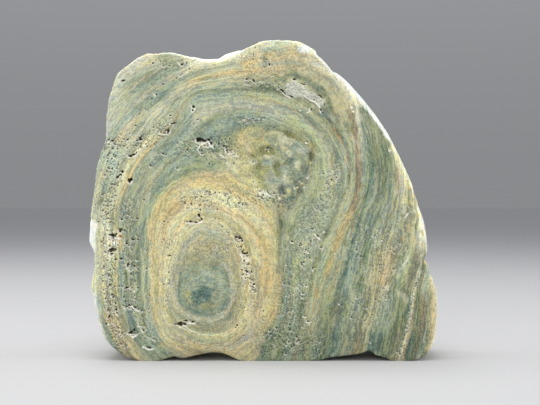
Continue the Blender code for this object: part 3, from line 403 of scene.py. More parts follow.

# What the growth layers hold along lines across the face. A line is a run of points x, z, and its log names
# the pigment at a growth layer, with its brightness. The brightnesses also hold painted shade: the face is
# darker towards the bottom, where less light falls.
LOGS = (
    (((-31, 40), (-92, 50)), """
        0 deep .95, 1 deep 1, 2 deep 1.1, 2.6 teal .9, 4 blue .93, 6 blue 1.1, 8 sage .97, 11 blue .85,
        12.5 sage 1, 13.5 lilac .95, 15 khaki 1.02, 17.5 khaki 1.04, 19 lilac 1.1, 20 cream .97,
        21.5 cream 1.05, 23.5 cream .97, 25 tan 1.12, 25.7 cream .95, 27 tan .97, 28.5 butter .9,
        30 butter .98, 31 tan 1.1, 32.5 cream .9, 33.6 pale .9, 34 sage 1, 34.8 teal .98, 35.5 sage .95,
        36.5 mist .95, 37.6 lime .95, 38.7 teal .97, 40 green 1, 41.5 green 1.07, 42.8 teal .98,
        44 lilac .66, 45.3 green 1.1, 46.3 forest 1.15, 47.2 blue .9, 49 blue 1, 50.2 sage .85,
        51.2 butter 1, 52.8 butter .95, 54 lime 1.05, 55.5 lilac 1, 57 lilac .98, 58.5 cream 1,
        59.5 cream .95, 61 pale 1, 62.5 pale 1.12"""),
    (((-31, 45), (-50, 85), (-62, 108), (-82, 130)), """
        4 green 1, 5.5 blue 1, 8 blue 1.08, 9.5 mist .95, 10.5 sage .95, 12 green 1.1, 14 khaki 1.05,
        16 lilac .94, 18 butter .97, 19.5 cream 1.05, 21.5 cream 1.1, 23 tan 1.2, 24.5 cream .98,
        26.5 cream .97, 27.8 tan 1, 29 ochre 1.05, 30 ochre 1.02, 31 butter 1, 32.5 ochre 1.02,
        33.7 butter 1, 35 lime 1.03, 36.2 sage .9, 38 teal 1.05, 39.5 sage .97, 41 khaki 1.03,
        43 sage 1.02, 45 drab 1, 46.5 sage .95, 48.5 sage 1, 50 mist .85, 50.8 green 1, 51.8 tan 1.1,
        53.5 cream 1, 55 cream 1.08, 56 khaki 1.04, 57.3 sage .9, 59 lilac .97, 61.5 sage .97, 63.5 tan 1,
        65.3 lilac 1.05, 67 blue 1.1, 69 mist .9, 72 mist .97, 74.5 mist 1.08, 76.5 pale 1, 84 pale .95"""),
    (((-31, 50), (-42, 92), (-48, 120), (-56, 140), (-62, 160)), """
        10 green 1.05, 12.3 khaki .98, 14 khaki 1.05, 16 lilac .97, 18 pale .98, 19.6 cream 1.05,
        20.7 cream .95, 21.6 brown 1, 22.5 butter 1.08, 24.5 butter 1.1, 26 cream 1, 27.5 tan 1.05,
        28.5 ochre .97, 30 cream 1, 32 tan 1.05, 34 butter .98, 35.6 green 1.1, 36.7 sage 1.1,
        37.6 teal 1.02, 38.5 blue .97, 40.5 sage .9, 42.8 blue 1, 45 blue .93, 47.2 sage .88, 49 sage .98,
        50.6 brown .95, 51.5 khaki .9, 53.3 mist .95, 54.8 sage 1, 56.8 pale .93, 59 lilac 1.03,
        61 mist .95, 62.6 sage .95, 64.8 teal 1.2, 66.4 teal 1.05, 68 lilac .88, 69.7 lilac .9, 71 sage .95,
        73.5 teal 1.05, 76 drab 1, 78.5 sage .97, 80.7 lilac .88, 82.3 cream .92, 84 pale 1.02,
        86 chalk 1"""),
    (((-31, 50), (-28, 100), (-27, 125), (-22, 160)), """
        10 green 1.05, 12.5 khaki 1, 14 khaki 1.08, 16.5 lilac 1, 18.5 cream .97, 20.5 cream 1.03,
        21.5 cream .95, 22.5 cream 1, 24 butter .99, 25.3 pale .93, 26.5 tan 1.08, 28 cream .97,
        29 cream 1.05, 30.3 cream .95, 31.4 butter 1.1, 32.5 ochre 1.12, 33.5 ochre .97, 34.5 tan .97,
        35.5 green 1.15, 37 green 1.05, 38.3 teal .87, 39.5 blue .78, 40.5 blue .98, 41.5 sage .85,
        43 mist .92, 44.6 lilac 1, 46 mist 1, 47.5 sage 1.05, 49.5 blue 1.07, 51.5 sage .95, 52.6 green 1,
        54 sage .97, 55.8 mist 1, 57 drab 1.1, 58.5 pale .97, 59.5 tan 1.05, 61 ochre .93, 62 butter .97,
        63.3 mist 1, 64.6 drab .95, 66 mist 1, 67.5 cream 1.02, 69 chalk .88, 71 chalk 1"""),
    (((-31, 50), (-12, 95), (-3, 122), (2, 140), (5, 166)), """
        10 green 1.05, 13 khaki .95, 15 mist .98, 17 lilac 1, 19 cream .93, 20.6 cream .9, 22 cream .97,
        23.5 butter 1, 25 cream .95, 26.5 tan 1.1, 28.5 cream 1.12, 30.5 cream 1.12, 31.5 ochre 1.1,
        33 butter .98, 34.5 ochre 1.03, 35.2 khaki .97, 36.5 butter .97, 37.5 green 1.02, 38.4 blue .77,
        39.4 blue .97, 41 blue 1.03, 42.6 mist .93, 44 lilac .94, 46 mist .98, 48 khaki 1, 49.6 lime .97,
        50.6 sage 1.03, 51.6 drab .98, 52.3 forest 1.2, 53.2 forest .85, 54.4 drab .85, 55.5 sage .95,
        56.7 drab 1.03, 58.7 khaki 1.05, 60.5 tan .95, 61.6 tan 1.02, 62.6 khaki .98, 63.6 lilac .97,
        65 tan .93, 66.6 tan 1.02, 68 khaki 1.05, 69.6 tan .97, 71.5 sage 1.07, 73.4 pale .9, 75 pale 1.1,
        76.6 chalk 1"""),
    (((-20, 50), (0, 82), (22, 112), (33, 128), (47, 146)), """
        12 blue .95, 14 khaki .95, 16 khaki 1.03, 17.6 tan .93, 19 cream .9, 21 cream .97, 22.5 khaki 1.03,
        23.5 butter 1, 24.7 butter .95, 26.3 cream .95, 27.5 tan 1, 28.4 ochre .9, 30 cream 1.1,
        31.5 cream .95, 32.5 ochre 1.1, 33.6 khaki .97, 35 sage .97, 36.6 khaki .98, 38.2 forest 1.2,
        39.4 olive 1.15, 41 olive 1.1, 42.4 olive 1.15, 43.4 green 1.1, 44.5 lime 1.03, 46 mist .97,
        47.4 drab .87, 48.4 sage .93, 50.5 drab 1.15, 52.4 green .9, 53.4 drab .95, 54.6 forest .9,
        55.7 sage .85, 56.4 drab 1, 58.5 khaki 1.05, 60.4 lilac .95, 62 chalk 1"""),
    (((-20, 45), (2, 72), (25, 97), (76, 100)), """
        9 mist .9, 10.5 blue 1.05, 12 green .97, 13.5 khaki .93, 16 khaki 1.02, 18.5 tan .92, 19.5 tan .98,
        20.5 cream 1, 21.6 cream .85, 22.5 cream .9, 23.5 ochre 1.03, 25 butter 1, 26.5 tan .97,
        27.6 ochre .95, 28.5 butter .93, 30 cream .97, 31.5 tan .97, 32.5 ochre 1.12, 33.5 butter 1,
        34.5 khaki 1.05, 35.5 drab .9, 36.5 khaki .87, 37.5 drab .93, 38.6 sage 1, 39.6 sage .96,
        41 lime .97, 42.6 sage .93, 44 lime 1.05, 45.6 mist .97, 46.6 khaki 1.08, 47.6 sage .9,
        48.7 teal 1.07, 50.2 sage .93, 52 sage .93, 53.6 pale .92, 54.3 brown .92, 55.3 sage .97,
        56.6 lime 1, 57.6 sage .97, 58.5 drab 1, 60 ochre .8, 61.4 sage 1, 62.5 blue 1.07, 63.4 green .93,
        64.5 sage .92, 65.2 olive 1, 66.2 deep 1.2, 67.6 teal 1.03, 69 drab .8, 71 green .97,
        73.3 forest 1.15, 75.3 green .93, 76.7 teal .93, 78 sage .97, 79.7 drab 1.1, 81 tan .85,
        82 chalk .85, 84 chalk 1, 86 chalk .8"""),
    (((-20, 42), (9, 62), (32, 70), (86, 72)), """
        7 blue 1.05, 9.5 mist .88, 12 green .97, 13.3 mist .88, 15 khaki .97, 17 khaki 1.03,
        18.6 khaki 1.03, 19.6 tan .93, 20.5 cream .98, 21.5 tan .97, 23 tan .95, 24.5 ochre .97,
        26 cream .9, 27.5 ochre .93, 28.5 ochre 1, 29.3 ochre 1.12, 30.3 butter .95, 32 butter .97,
        33.4 drab 1.15, 34.3 olive 1.2, 35.7 sage .87, 38 sage .87, 39.5 khaki 1, 40.5 pale .87,
        41.5 green .95, 42.5 sage .93, 44.5 sage .93, 47 sage .97, 49 sage 1.02, 51 sage .9, 52.5 khaki 1,
        53.5 lime 1.02, 54.6 mist .97, 55.6 lilac .93, 56.5 lime 1.07, 57.5 khaki .93, 59 butter .9,
        61 khaki 1.02, 63 green 1.03, 65 drab .97, 66.4 teal 1.02, 68 sage .92, 69.5 teal .98, 71 sage .83,
        73 teal .95, 75 sage .93, 77 mist .93, 78.5 sage .9, 79.5 drab .97, 82 sage .9, 85 sage .97,
        87 drab 1.05, 89 khaki .97, 91 cream .9, 93 chalk 1.02, 95 chalk 1.05"""),
    (((-20, 38), (9, 45), (90, 45)), """
        5 drab .93, 8 sage .93, 10 blue .97, 12 teal 1, 13.6 sage .9, 15 khaki .9, 16.5 khaki .98,
        18.5 khaki .97, 21 lilac .93, 22.5 tan .97, 24 cream .97, 25.6 tan 1, 27 ochre 1.07, 28.3 tan .77,
        28.8 ochre .95, 30.5 ochre .97, 32.5 khaki 1.07, 33.3 green .95, 34.2 khaki .9, 35.5 drab .97,
        36.5 tan .93, 37.7 olive 1.05, 39.3 sage .87, 41 teal 1.1, 42.5 teal 1.05, 44 lime 1.03,
        45.5 lime .98, 47 sage .95, 49 sage .9, 50.5 lime .9, 51.5 mist .93, 52.5 green .97, 53.5 olive .9,
        55 green 1.1, 57 sage 1, 59 lime 1.02, 60.7 butter .93, 62.3 sage .97, 64 drab 1.05, 65.2 sage .9,
        66 deep 1.35, 67.3 teal 1.05, 69 blue .97, 70.7 teal .97, 72.5 green .97, 75 sage .9, 77.5 khaki 1,
        79.5 khaki .9, 81 khaki .93, 83 tan .87, 85 tan .87, 86.5 drab .97, 88.5 sage .93, 90.5 lime .97,
        92.5 drab .93, 95 drab .88, 97 lilac .86, 99 forest 1.25, 101 drab .87, 103 mist .93,
        104.5 blue 1.15, 106 lilac 1.03, 108 pale .9"""),
    (((-20, 30), (5, 22), (94, 25)), """
        6 sage .87, 8 sage .9, 9.5 drab .88, 11 teal .9, 13 blue .93, 15 brown .95, 16.5 drab .9,
        18 khaki .9, 20.5 khaki .95, 22.5 butter .9, 23.6 cream .92, 25.5 tan .95, 28 tan 1.07, 30 butter 1,
        31.5 butter .93, 33.5 ochre .97, 35.7 khaki .92, 37.3 green 1.02, 38.5 teal .98, 39.5 teal .97,
        40.8 teal .85, 42.3 drab .8, 44 green 1, 46.5 teal .98, 49 forest 1.05, 50.6 green .85,
        51.5 sage .87, 52.5 khaki .93, 55 sage .9, 57 khaki .97, 59 butter .87, 60.5 mist .95, 62 drab .97,
        64 green 1, 65.5 green .93, 67 drab .85, 69 teal .9, 71 green 1.05, 73 sage .87, 75 sage .95,
        77.5 drab 1.05, 80.5 khaki .95, 83.5 sage .9, 86.5 blue .87, 89 sage .83, 91 green .87,
        94 green .85, 95.6 forest .97, 96.5 teal .97, 98 brown 1.05, 100 forest 1.1, 102 olive 1,
        103.6 brown .97, 105.5 drab .78, 107.5 khaki 1.02, 109 tan 1.08, 110.6 chalk .85"""),
    (((-22, 25), (0, 8), (94, 8)), """
        9 drab 1, 10.3 teal .92, 11.8 teal .87, 13.3 sage .8, 15 drab .83, 16.5 sage .83, 17.6 khaki .87,
        19.3 khaki .93, 21 khaki .97, 22 tan 1, 23 cream .95, 24.5 khaki .93, 25.5 tan .85, 27 lilac .95,
        29.5 tan .88, 31.5 khaki 1.05, 33.5 khaki .95, 34.6 tan .87, 35.5 teal .83, 37 forest 1.15,
        38.5 deep 1.3, 40.5 forest 1.2, 44 forest 1.1, 47 teal .87, 49 teal .93, 51 drab .85, 53 drab .77,
        55 teal .83, 57 forest 1.25, 59 drab .78, 61 forest 1.3, 63.5 teal .83, 66 forest 1.2, 68.5 deep 1.2,
        71 teal .85, 73 drab .82, 75 teal .92, 76.5 brown .77, 78.5 drab .9, 81 drab .93, 82.5 teal .87,
        84 deep 1.35, 86 teal .82, 88.5 forest 1.27, 91 forest 1.05, 93 drab .77, 95 drab .87, 97 brown 1,
        98.5 brown .97, 100 deep 1.1, 102 forest 1.05, 104 drab .7, 106 teal .83, 107.5 green .87,
        109 brown 1, 110.6 chalk .87"""),
    (((-31, 30), (-31, 2)), """
        0 deep 1, 2 deep .97, 3.5 deep .87, 4.5 forest 1.15, 6 forest 1.3, 7.5 drab .83, 9 green 1,
        11 teal 1, 13 teal .97, 14 drab .9, 16 drab .92, 18 drab 1.07, 19.6 khaki .85, 20.6 lime .92,
        21.4 pale .93, 22.3 cream .97, 23.5 butter .93, 24.5 sage .93, 25.5 drab 1.05, 27 tan .92,
        28.5 khaki .87, 30 brown 1"""),
    (((-36, 28), (-58, 15), (-86, 10)), """
        3 deep .87, 5 deep .95, 6.5 deep 1.15, 8 teal .82, 10 sage .82, 12 teal .97, 13.5 lilac .68,
        15 drab .93, 16.5 khaki .93, 18.5 drab .97, 21 mist .93, 22.5 khaki 1.02, 23.6 butter 1.07,
        24.6 cream .98, 26 cream .9, 27.3 lilac .93, 29 butter .93, 30.6 cream .87, 31.6 khaki .95,
        32.6 butter .93, 33.5 mist .97, 35 blue 1, 36.5 mist .95, 37.5 sage .93, 39 teal 1.05, 40.5 green 1,
        42 blue 1.07, 43.6 green 1, 45 teal 1.03, 47 teal 1.03, 48.5 drab .97, 50 khaki 1.02,
        51.6 khaki .9, 53 tan 1, 54.6 khaki .87, 56 brown .87, 57.6 khaki .93, 59 drab .8, 61 blue .97,
        63 mist 1.05, 66 pale 1"""),
)

# Soft patches of pigment: x, z, length, width, tilt, pigment, brightness and share
PATCHES = (
    (-25, 117, 9, 5, 20, "blue", .8, .6), (-9, 123, 9, 2.6, 8, "chalk", .85, .5),
    (-30, 110.6, 9, 4, 0, "chalk", .9, .45), (-18, 105.2, 10, 5, 0, "chalk", .85, .45),
    (-38, 108, 8, 8, 0, "green", .8, .55), (-32, 115.6, 9, 3, 0, "forest", 1.1, .6),
    (-26.8, 113.6, 3, 1.6, -30, "forest", .9, .7), (-34, 106, 1.6, 3, 0, "forest", 1.1, .6),
    (-17, 113, 3.5, 10, 0, "green", .85, .5), (-11, 113, 7, 6, 0, "ochre", .95, .7),
    (-5, 113, 6, 9, 0, "olive", 1.3, .6), (-12, 107, 4, 6, 0, "olive", 1.3, .5),
    (-4, 100, 4.5, 13, -15, "olive", 1.3, .5), (-11, 98.5, 12, 7, 0, "butter", 1.1, .6),
    (-17, 96, 10, 5, 0, "cream", .97, .5), (-8, 152, 9, 6, 40, "ochre", 1.15, .8),
    (-6, 148.5, 9, 4, 0, "ochre", .95, .7), (-13, 148, 8, 3, 0, "tan", .9, .5),
    (-4, 157, 5, 7, 0, "tan", 1.15, .6), (1, 154, 3, 8, 0, "teal", .75, .7),
    (-57, 155.5, 11, 3, 0, "tan", 1.2, .6), (-78, 103, 10, 15, -25, "blue", 1.35, .8),
    (-76, 116, 3, 10, -15, "teal", 1, .55), (-68, 116, 8, 13, -30, "lilac", .9, .6),
    (-76.5, 96, 6, 9, -20, "blue", 1.15, .6), (-82, 92, 5, 10, 0, "mist", 1.05, .6),
    (-27, 104.6, 7, 5, 0, "cream", .8, .6), (-25, 124, 12, 4, 10, "lime", 1.05, .55),
    (-8, 126.5, 14, 3.4, 0, "lime", 1.1, .55), (16, 121, 14, 4, -32, "lime", 1.05, .6),
    (-22, 119, 5, 4, 0, "lime", .95, .5), (-80, 90, 5, 9, -15, "teal", 1.1, .5),
    (14, 149, 6, 7, 0, "green", .95, .5), (16, 156.6, 9, 3.4, 0, "ochre", 1.15, .6),
    (3, 156.5, 5, 4, 0, "ochre", 1.1, .6), (13, 160, 8, 3, 0, "tan", 1.1, .6),
    # The white patch at 21.5, 159.2 is painted highlight on the top edge, over a paler edge
    (21.5, 159.2, 9, 5, 0, "white_and_highlight", .97, .9), (7, 160, 5, 4, 0, "sage", 1, .5),
    (45, 127, 5, 7, 0, "brown", 1.05, .7), (13.5, 101, 28, 35, 0, "sage", .8, .95),
    (0, 108, 13, 15, 0, "olive", 1.2, .85), (-1, 97, 8, 15, 0, "olive", 1.4, .75),
    (2.6, 118.4, 8, 5, 0, "teal", .6, .9), (-2.4, 114.4, 7, 4, 0, "drab", 1, .8),
    (1.8, 113.6, 4, 4, 0, "sage", .8, .85), (-1.5, 111, 6, 4, 0, "butter", .9, .75),
    (4.6, 112, 4, 5, 0, "sage", .75, .85), (9.4, 113, 6, 6.6, -10, "lilac", 1.05, .9),
    (13.6, 111.4, 5, 5, 0, "lilac", 1, .85), (16.8, 109.6, 6, 6, 0, "blue", .95, .8),
    (11.2, 107.8, 9, 3.2, -37, "cream", .95, .85), (13.4, 105, 4, 3, 0, "lilac", 1.1, .7),
    (18.4, 106.6, 5, 4.4, 0, "lilac", 1.05, .85), (12.3, 116, 7.6, 3, -32, "moss", .7, .9),
    (17, 113.8, 8, 2.4, -30, "moss", .9, .75), (23.8, 110.6, 2.6, 1.8, -40, "ochre", .7, .95),
    (20.4, 112.2, 2, 1.2, 0, "ochre", .8, .7), (25.4, 106, 1.4, 8, 0, "olive", 1.1, .8),
    (23.9, 105.6, 3, 6.6, 0, "moss", .5, .97), (24, 103.4, 2, 3.4, 0, "moss", .4, .95),
    (23, 100.6, 2.6, 3.4, 0, "olive", 1, .8), (1.7, 107.4, 7.4, 5, 0, "moss", .75, .97),
    (2.2, 108.6, 2.4, 1.8, 0, "teal", .45, .85), (2.1, 104, 6.6, 2.4, 0, "lilac", 1.05, .9),
    (2.8, 104, 3.2, 1.4, 0, "tan", .95, .7), (1.4, 101.4, 7, 3.4, 10, "blue", .85, .9),
    (7, 98.2, 3.6, 9, 0, "moss", .7, .97), (7.2, 96.6, 2, 5.4, 5, "moss", .8, .85),
    (7.6, 97.6, 1.4, 2.4, 0, "teal", .7, .8), (13.6, 102, 6.4, 4.6, 20, "teal", .6, .95),
    (12.8, 103.2, 3, 2, 0, "green", .8, .85), (12, 100.8, 3, 2, 0, "moss", .9, .7),
    (16.8, 100.2, 3.4, 4, 0, "lilac", 1.1, .9), (20.9, 97.6, 4.4, 5.2, 0, "teal", .55, .95),
    (16.8, 95.8, 6, 4, 0, "teal", .75, .85), (10.4, 98.4, 2.6, 4.4, 0, "mist", .9, .8),
    (14, 93, 5, 3.4, 0, "sage", .75, .8), (10.3, 92.6, 4.4, 4.6, 0, "lilac", 1.05, .9),
    (2.6, 93.6, 6, 7, 0, "mist", .85, .9), (-3, 99, 3.4, 7, 0, "moss", .95, .75),
    (5.6, 88.4, 6, 5, 0, "lilac", 1, .9), (-.6, 88.4, 4.4, 5, 0, "moss", 1.1, .6),
    (9.6, 87.6, 5.4, 5.6, -20, "teal", .5, .97), (12.6, 87.2, 4.6, 2, -50, "butter", .9, .95),
    (16.4, 90, 6, 3.4, -20, "teal", .5, .95), (18.8, 92.4, 2.8, 3.6, 0, "teal", .55, .85),
    (14.6, 86.4, 2, 5.4, 0, "deep", .9, .9), (17.8, 86.6, 3.4, 3, 0, "forest", .7, .85),
    (21.2, 88.2, 2, 2.6, 0, "pale", .95, .8), (13.2, 82.8, 4.6, 3.6, 0, "deep", .95, .9),
    (26.2, 97, 2.6, 7, 0, "lime", 1.15, .6), (-4.4, 104.8, 4.8, 3, 0, "moss", .95, .75),
    (-5.8, 101.2, 5, 3, 0, "lilac", 1.05, .6), (-1.8, 93.2, 3, 5, 0, "moss", 1.1, .6),
    (-4, 85.6, 4, 4, 0, "ochre", 1.1, .6), (30, 126, 4, 3.4, 0, "deep", .9, .85),
    (32.6, 125, 2.2, 2.6, 0, "deep", 1, .7), (36.3, 106, 2.4, 6, 15, "teal", .85, .6),
    (37, 93, 3.6, 4.4, 0, "chalk", .95, .5), (51, 82.5, 2, 5, -10, "olive", .85, .75),
    (37, 95, 4, 9, 0, "lilac", .9, .4), (-31.3, 34.5, 13, 8.4, 24, "ink", 1.1, .95),
    (-32.4, 33.9, 6, 4, 20, "ink", .8, .9), (-36.4, 38.6, 7, 5, 35, "mist", .85, .85),
    (-27.6, 40, 7, 4, 20, "blue", .95, .7), (-28.3, 44.5, 8, 3.4, -25, "mist", .95, .7),
    (-39.2, 34.4, 3.8, 4.4, 0, "olive", 1.5, .6), (-27, 38.6, 5, 2.4, 20, "sage", .8, .6),
    (-25, 33.5, 3, 4, 0, "drab", .95, .5), (-35, 47.6, 6, 2.6, -10, "green", 1.1, .6),
    (-38, 30.6, 5, 1.6, -40, "butter", .8, .6), (-29.5, 28.6, 6, 2, 0, "olive", 1.3, .5),
    (-25, 24.7, 6, 1.2, 8, "butter", .95, .5), (-30, 58.5, 15, 5, 0, "brown", 1.1, .35),
    (-5.5, 54, 4, 8, 0, "butter", 1.2, .6), (-8.5, 44.5, 5, 6, 0, "chalk", .85, .6),
    (-8.8, 52.2, 4.4, 2.8, 0, "chalk", .95, .8), (-10.5, 49, 3, 3.4, 0, "lilac", 1.15, .7),
    (-88, 38.5, 1.6, 3.4, 0, "ochre", 1.25, .9), (-77.6, 60, 8, 14, 0, "chalk", .95, .8),
    (-73.2, 60, 2.6, 12, 5, "ochre", 1.15, .7), (-75.4, 59.6, 3, 2.4, 0, "white_and_highlight", .95, .8),
    (-76, 55.4, 2.6, 1.6, 0, "ochre", 1.1, .8), (-80.6, 69, 6, 9, 0, "pale", 1.15, .75),
    (-72.9, 63.4, 1.8, 2, 0, "rust", 1.1, .7), (-66, 37.3, 2.4, 3, 30, "lilac", 1.2, .8),
    (-83, 30, 4, 8, 10, "teal", 1.05, .5), (-79.4, 21.4, 2.2, 3, 30, "rust", 1.1, .7),
    (-80.8, 22.6, 1.4, 4, 0, "ochre", 1.1, .6), (-67.2, 9, 1.8, 5.4, 8, "tan", 1.05, .8),
    (-68.6, 6.2, 2, 1.6, 0, "forest", .9, .7), (-76.8, 8.8, 1.8, 3, 0, "blue", .85, .6),
    (-79, 14, 3, 6, 0, "blue", .95, .5), (-68, 22, 3.4, 12, 0, "blue", .85, .6),
    (-55.7, 23, 1.8, 8, 10, "ochre", 1.0, .7), (-50, 7.5, 10, 3.4, -10, "ochre", .9, .45),
    (-45, 6, 6, 3, 0, "ochre", .95, .5), (9, 70, 3, 5, -10, "forest", .8, .8),
    (7, 65.5, 4, 4, 0, "olive", 1, .6), (12.8, 50, 2.4, 9, 0, "teal", .8, .7),
    (10, 42, 1.4, 5, 0, "forest", .85, .8), (10, 37, 1.4, 2, 0, "deep", 1, .8),
    (9.2, 31, 1.4, 4, 0, "forest", .85, .7), (7.2, 41.5, 3, 9, 0, "ochre", .85, .85),
    (7.6, 36, 2, 3, 0, "tan", 1.0, .6), (12, 35, 3, 11, 0, "teal", .85, .6),
    (5.4, 9, 10, 14, 0, "forest", 1.1, .8), (14, 13, 12, 12, 0, "forest", 1.25, .6),
    (31.8, 64.8, 2.2, 4.6, -20, "forest", .9, .85), (32.6, 68.6, 1.6, 2.6, 0, "olive", .9, .7),
    (23.2, 54.6, 1.4, 1.2, 0, "forest", .9, .7), (26.9, 35, 2.6, 8, 8, "ochre", .92, .75),
    (32.5, 46, 1.6, 3, 20, "ochre", 1.05, .6), (33, 33.5, 5, 7, 0, "olive", 1.25, .5),
    (21, 33.5, 1.8, 4, 0, "deep", .95, .7), (19.4, 26, 2.2, 7, -15, "forest", 1.05, .7),
    (28.6, 53.5, 2, 7, 20, "teal", .75, .75), (31.8, 57, 1.2, 4, 0, "blue", .85, .6),
    (38.6, 27.4, 2.6, 6, -10, "forest", 1.05, .6), (39, 18, 6, 9, 0, "teal", .95, .55),
    (12, 53, 3, 3, 0, "sage", .85, .4), (32, 66, 3.6, 7, -30, "forest", 1.25, .5),
    (59, 53, 3, 10, 0, "ochre", .85, .25), (59, 41, 2.4, 3, 0, "ochre", .95, .6),
    (79, 74.5, 3.2, 2.6, 0, "ochre", 1.35, .9), (81, 65.4, 1.4, 3, 0, "ochre", 1.25, .9),
    (81.7, 59.4, 1.8, 3, 0, "ochre", 1.25, .85), (82.6, 50.8, 2.6, 4.6, -15, "ochre", 1.3, .9),
    (74.4, 88, 1.8, 2.4, 0, "ochre", 1.25, .75), (76.6, 84.4, 1.4, 2, 0, "ochre", 1.3, .8),
    (77.8, 81, 1.4, 1.6, 0, "ochre", 1.35, .8), (70.4, 81.4, 5, 5, 20, "cream", .97, .85),
    (68.6, 96.5, 3, 3, 0, "tan", 1.1, .7), (63, 37.5, 2.2, 3, 0, "chalk", .9, .5),
    (70.4, 62.6, 1.8, 3, -20, "rust", 1.5, .5), (78, 69, 3, 8, 10, "teal", 1.3, .6),
    (67, 44, 3, 3, 30, "pale", .95, .4), (-63, 14, 9, 4, -25, "teal", 1.05, .4),
    (-56, 7, 14, 4, -20, "teal", 1.1, .45), (-1, 85.4, 9, 4, -15, "chalk", .95, .7),
    (-9, 91, 14, 7, -20, "butter", 1.15, .6), (-32, 86.6, 10, 2, 0, "chalk", .8, .3),
    (66, 36, 4, 8, 0, "green", .85, .4), (-15, 100, 12, 5, 0, "cream", 1.0, .55),
    (-5, 41, 5, 10, 0, "cream", 1.05, .6), (76.6, 76.4, 3.4, 3, 0, "cream", 1.2, .85),
    (75.6, 80.6, 3, 2.6, 0, "cream", 1.15, .8), (76.6, 71.6, 2.6, 3.4, 0, "cream", 1.1, .6),
    (26.4, 78, 5, 11, -15, "mist", 1.0, .55), (50, 60, 3, 9, -20, "mist", .95, .5),
    (64.4, 79, 2, 9, -5, "mist", .95, .5), (66, 63, 3, 9, -5, "mist", .95, .5),
    (69.4, 40, 2.6, 6, 0, "lime", 1.0, .6), (82.6, 34.4, 2, 7, 0, "mist", 1.0, .6),
    (-50, 155, 14, 4, 0, "green", 1.15, .6), (-21, 145.2, 12, 1.8, 15, "khaki", 1.0, .6),
    (-46, 151, 10, 4, 0, "green", 1.0, .6), (20.5, 150, 10, 5, -10, "drab", 1.1, .5),
    (-61, 107.2, 4, 2, 60, "khaki", .9, .5), (-50.2, 62.6, 3.4, 9, 0, "tan", .9, .8),
    (-67.4, 60, 4, 12, 0, "teal", .75, .6), (46, 124, 3.4, 8, 0, "brown", .75, .85),
    (-45, 152, 12, 6, -10, "sage", .75, .8), (25, 60, 9, 11, 0, "mist", .95, .65),
    (55, 60, 7, 15, -15, "sage", 1.05, .6), (43, 55, 4, 11, -20, "teal", 1.1, .6),
    (77.8, 24, 1.8, 14, 5, "deep", 1.2, .6), (65, 62, 4, 7, 0, "khaki", 1.1, .75),
    (-58, 67, 3.4, 10, 0, "tan", 1.15, .75), (-50, 13, 9, 5, -30, "cream", .95, .75),
    (-52, 103, 7, 8, 30, "teal", .85, .6), (12.4, 80, 3, 7, 0, "teal", .65, .85),
    (10, 69, 3.4, 9, 0, "forest", .95, .75), (12.5, 58, 5, 8, 0, "forest", 1.1, .6),
    (10.5, 47, 3.4, 8, 0, "green", .8, .7), (11, 36, 4, 9, 0, "teal", .75, .6),
    (14, 66, 4, 10, -8, "forest", 1.05, .6), (17.5, 45, 3, 8, 0, "forest", 1, .6),
    (-77.2, 63.6, 3.4, 2.4, 0, "brown", .75, .8), (-77.4, 56.6, 5, 2, 12, "brown", .7, .85),
)

# Small sharp specks, in the same order of values without the share
SPECKS = (
    (44.7, 129.3, 1.6, 1.3, 0, "white_and_highlight", 1), (45.4, 127.2, 1.3, 1, 0, "white_and_highlight", .95),
    (21.6, 111.1, 1.5, 1.1, 0, "white_and_highlight", 1), (22.4, 94.6, 1.3, 1.3, 0, "lilac", .8),
    (22, 93.3, 1.6, 1, 0, "white_and_highlight", 1), (2.3, 106.7, 1.2, .7, -35, "cream", .9),
    (.8, 107.8, .8, .6, 30, "cream", 1.0), (24, 101, 1.5, .9, -40, "cream", 1),
    (17, 88.5, 1, .9, 0, "chalk", 1), (18.1, 91.4, 1, .9, 0, "chalk", 1),
    (19.2, 90.6, 1.6, .7, 0, "pale", 1.3), (20.4, 88.6, 1.2, 1, 0, "chalk", 1),
    (15.6, 88, .8, .8, 0, "pale", 1.2), (30.6, 65.7, 1.4, 1.2, 0, "white_and_highlight", .95),
    (36, 54.8, .9, .9, 0, "white_and_highlight", .85), (60.3, 60.8, 1.2, 1.2, 0, "white_and_highlight", .85),
    (-79.3, 18.6, 1.2, 1, 0, "white_and_highlight", .95), (11.2, 48.8, 1, .9, 0, "chalk", 1),
    (38.1, 28.8, 1.2, 1, 0, "chalk", 1), (21, 51.8, 1.2, 1.1, 0, "lilac", 1.1),
    (18.4, 127.7, 1.1, .9, 0, "white_and_highlight", .9), (64, 107.4, 1.4, 1, 50, "chalk", 1),
    (29.4, 57.4, 1.3, .7, -40, "chalk", .95), (-37.4, 33, 1.7, 1, 40, "khaki", .9),
    (-26, 31.4, 1.4, 1, 20, "khaki", .9), (-30.4, 31, 1.1, .8, 0, "teal", 1.1),
)
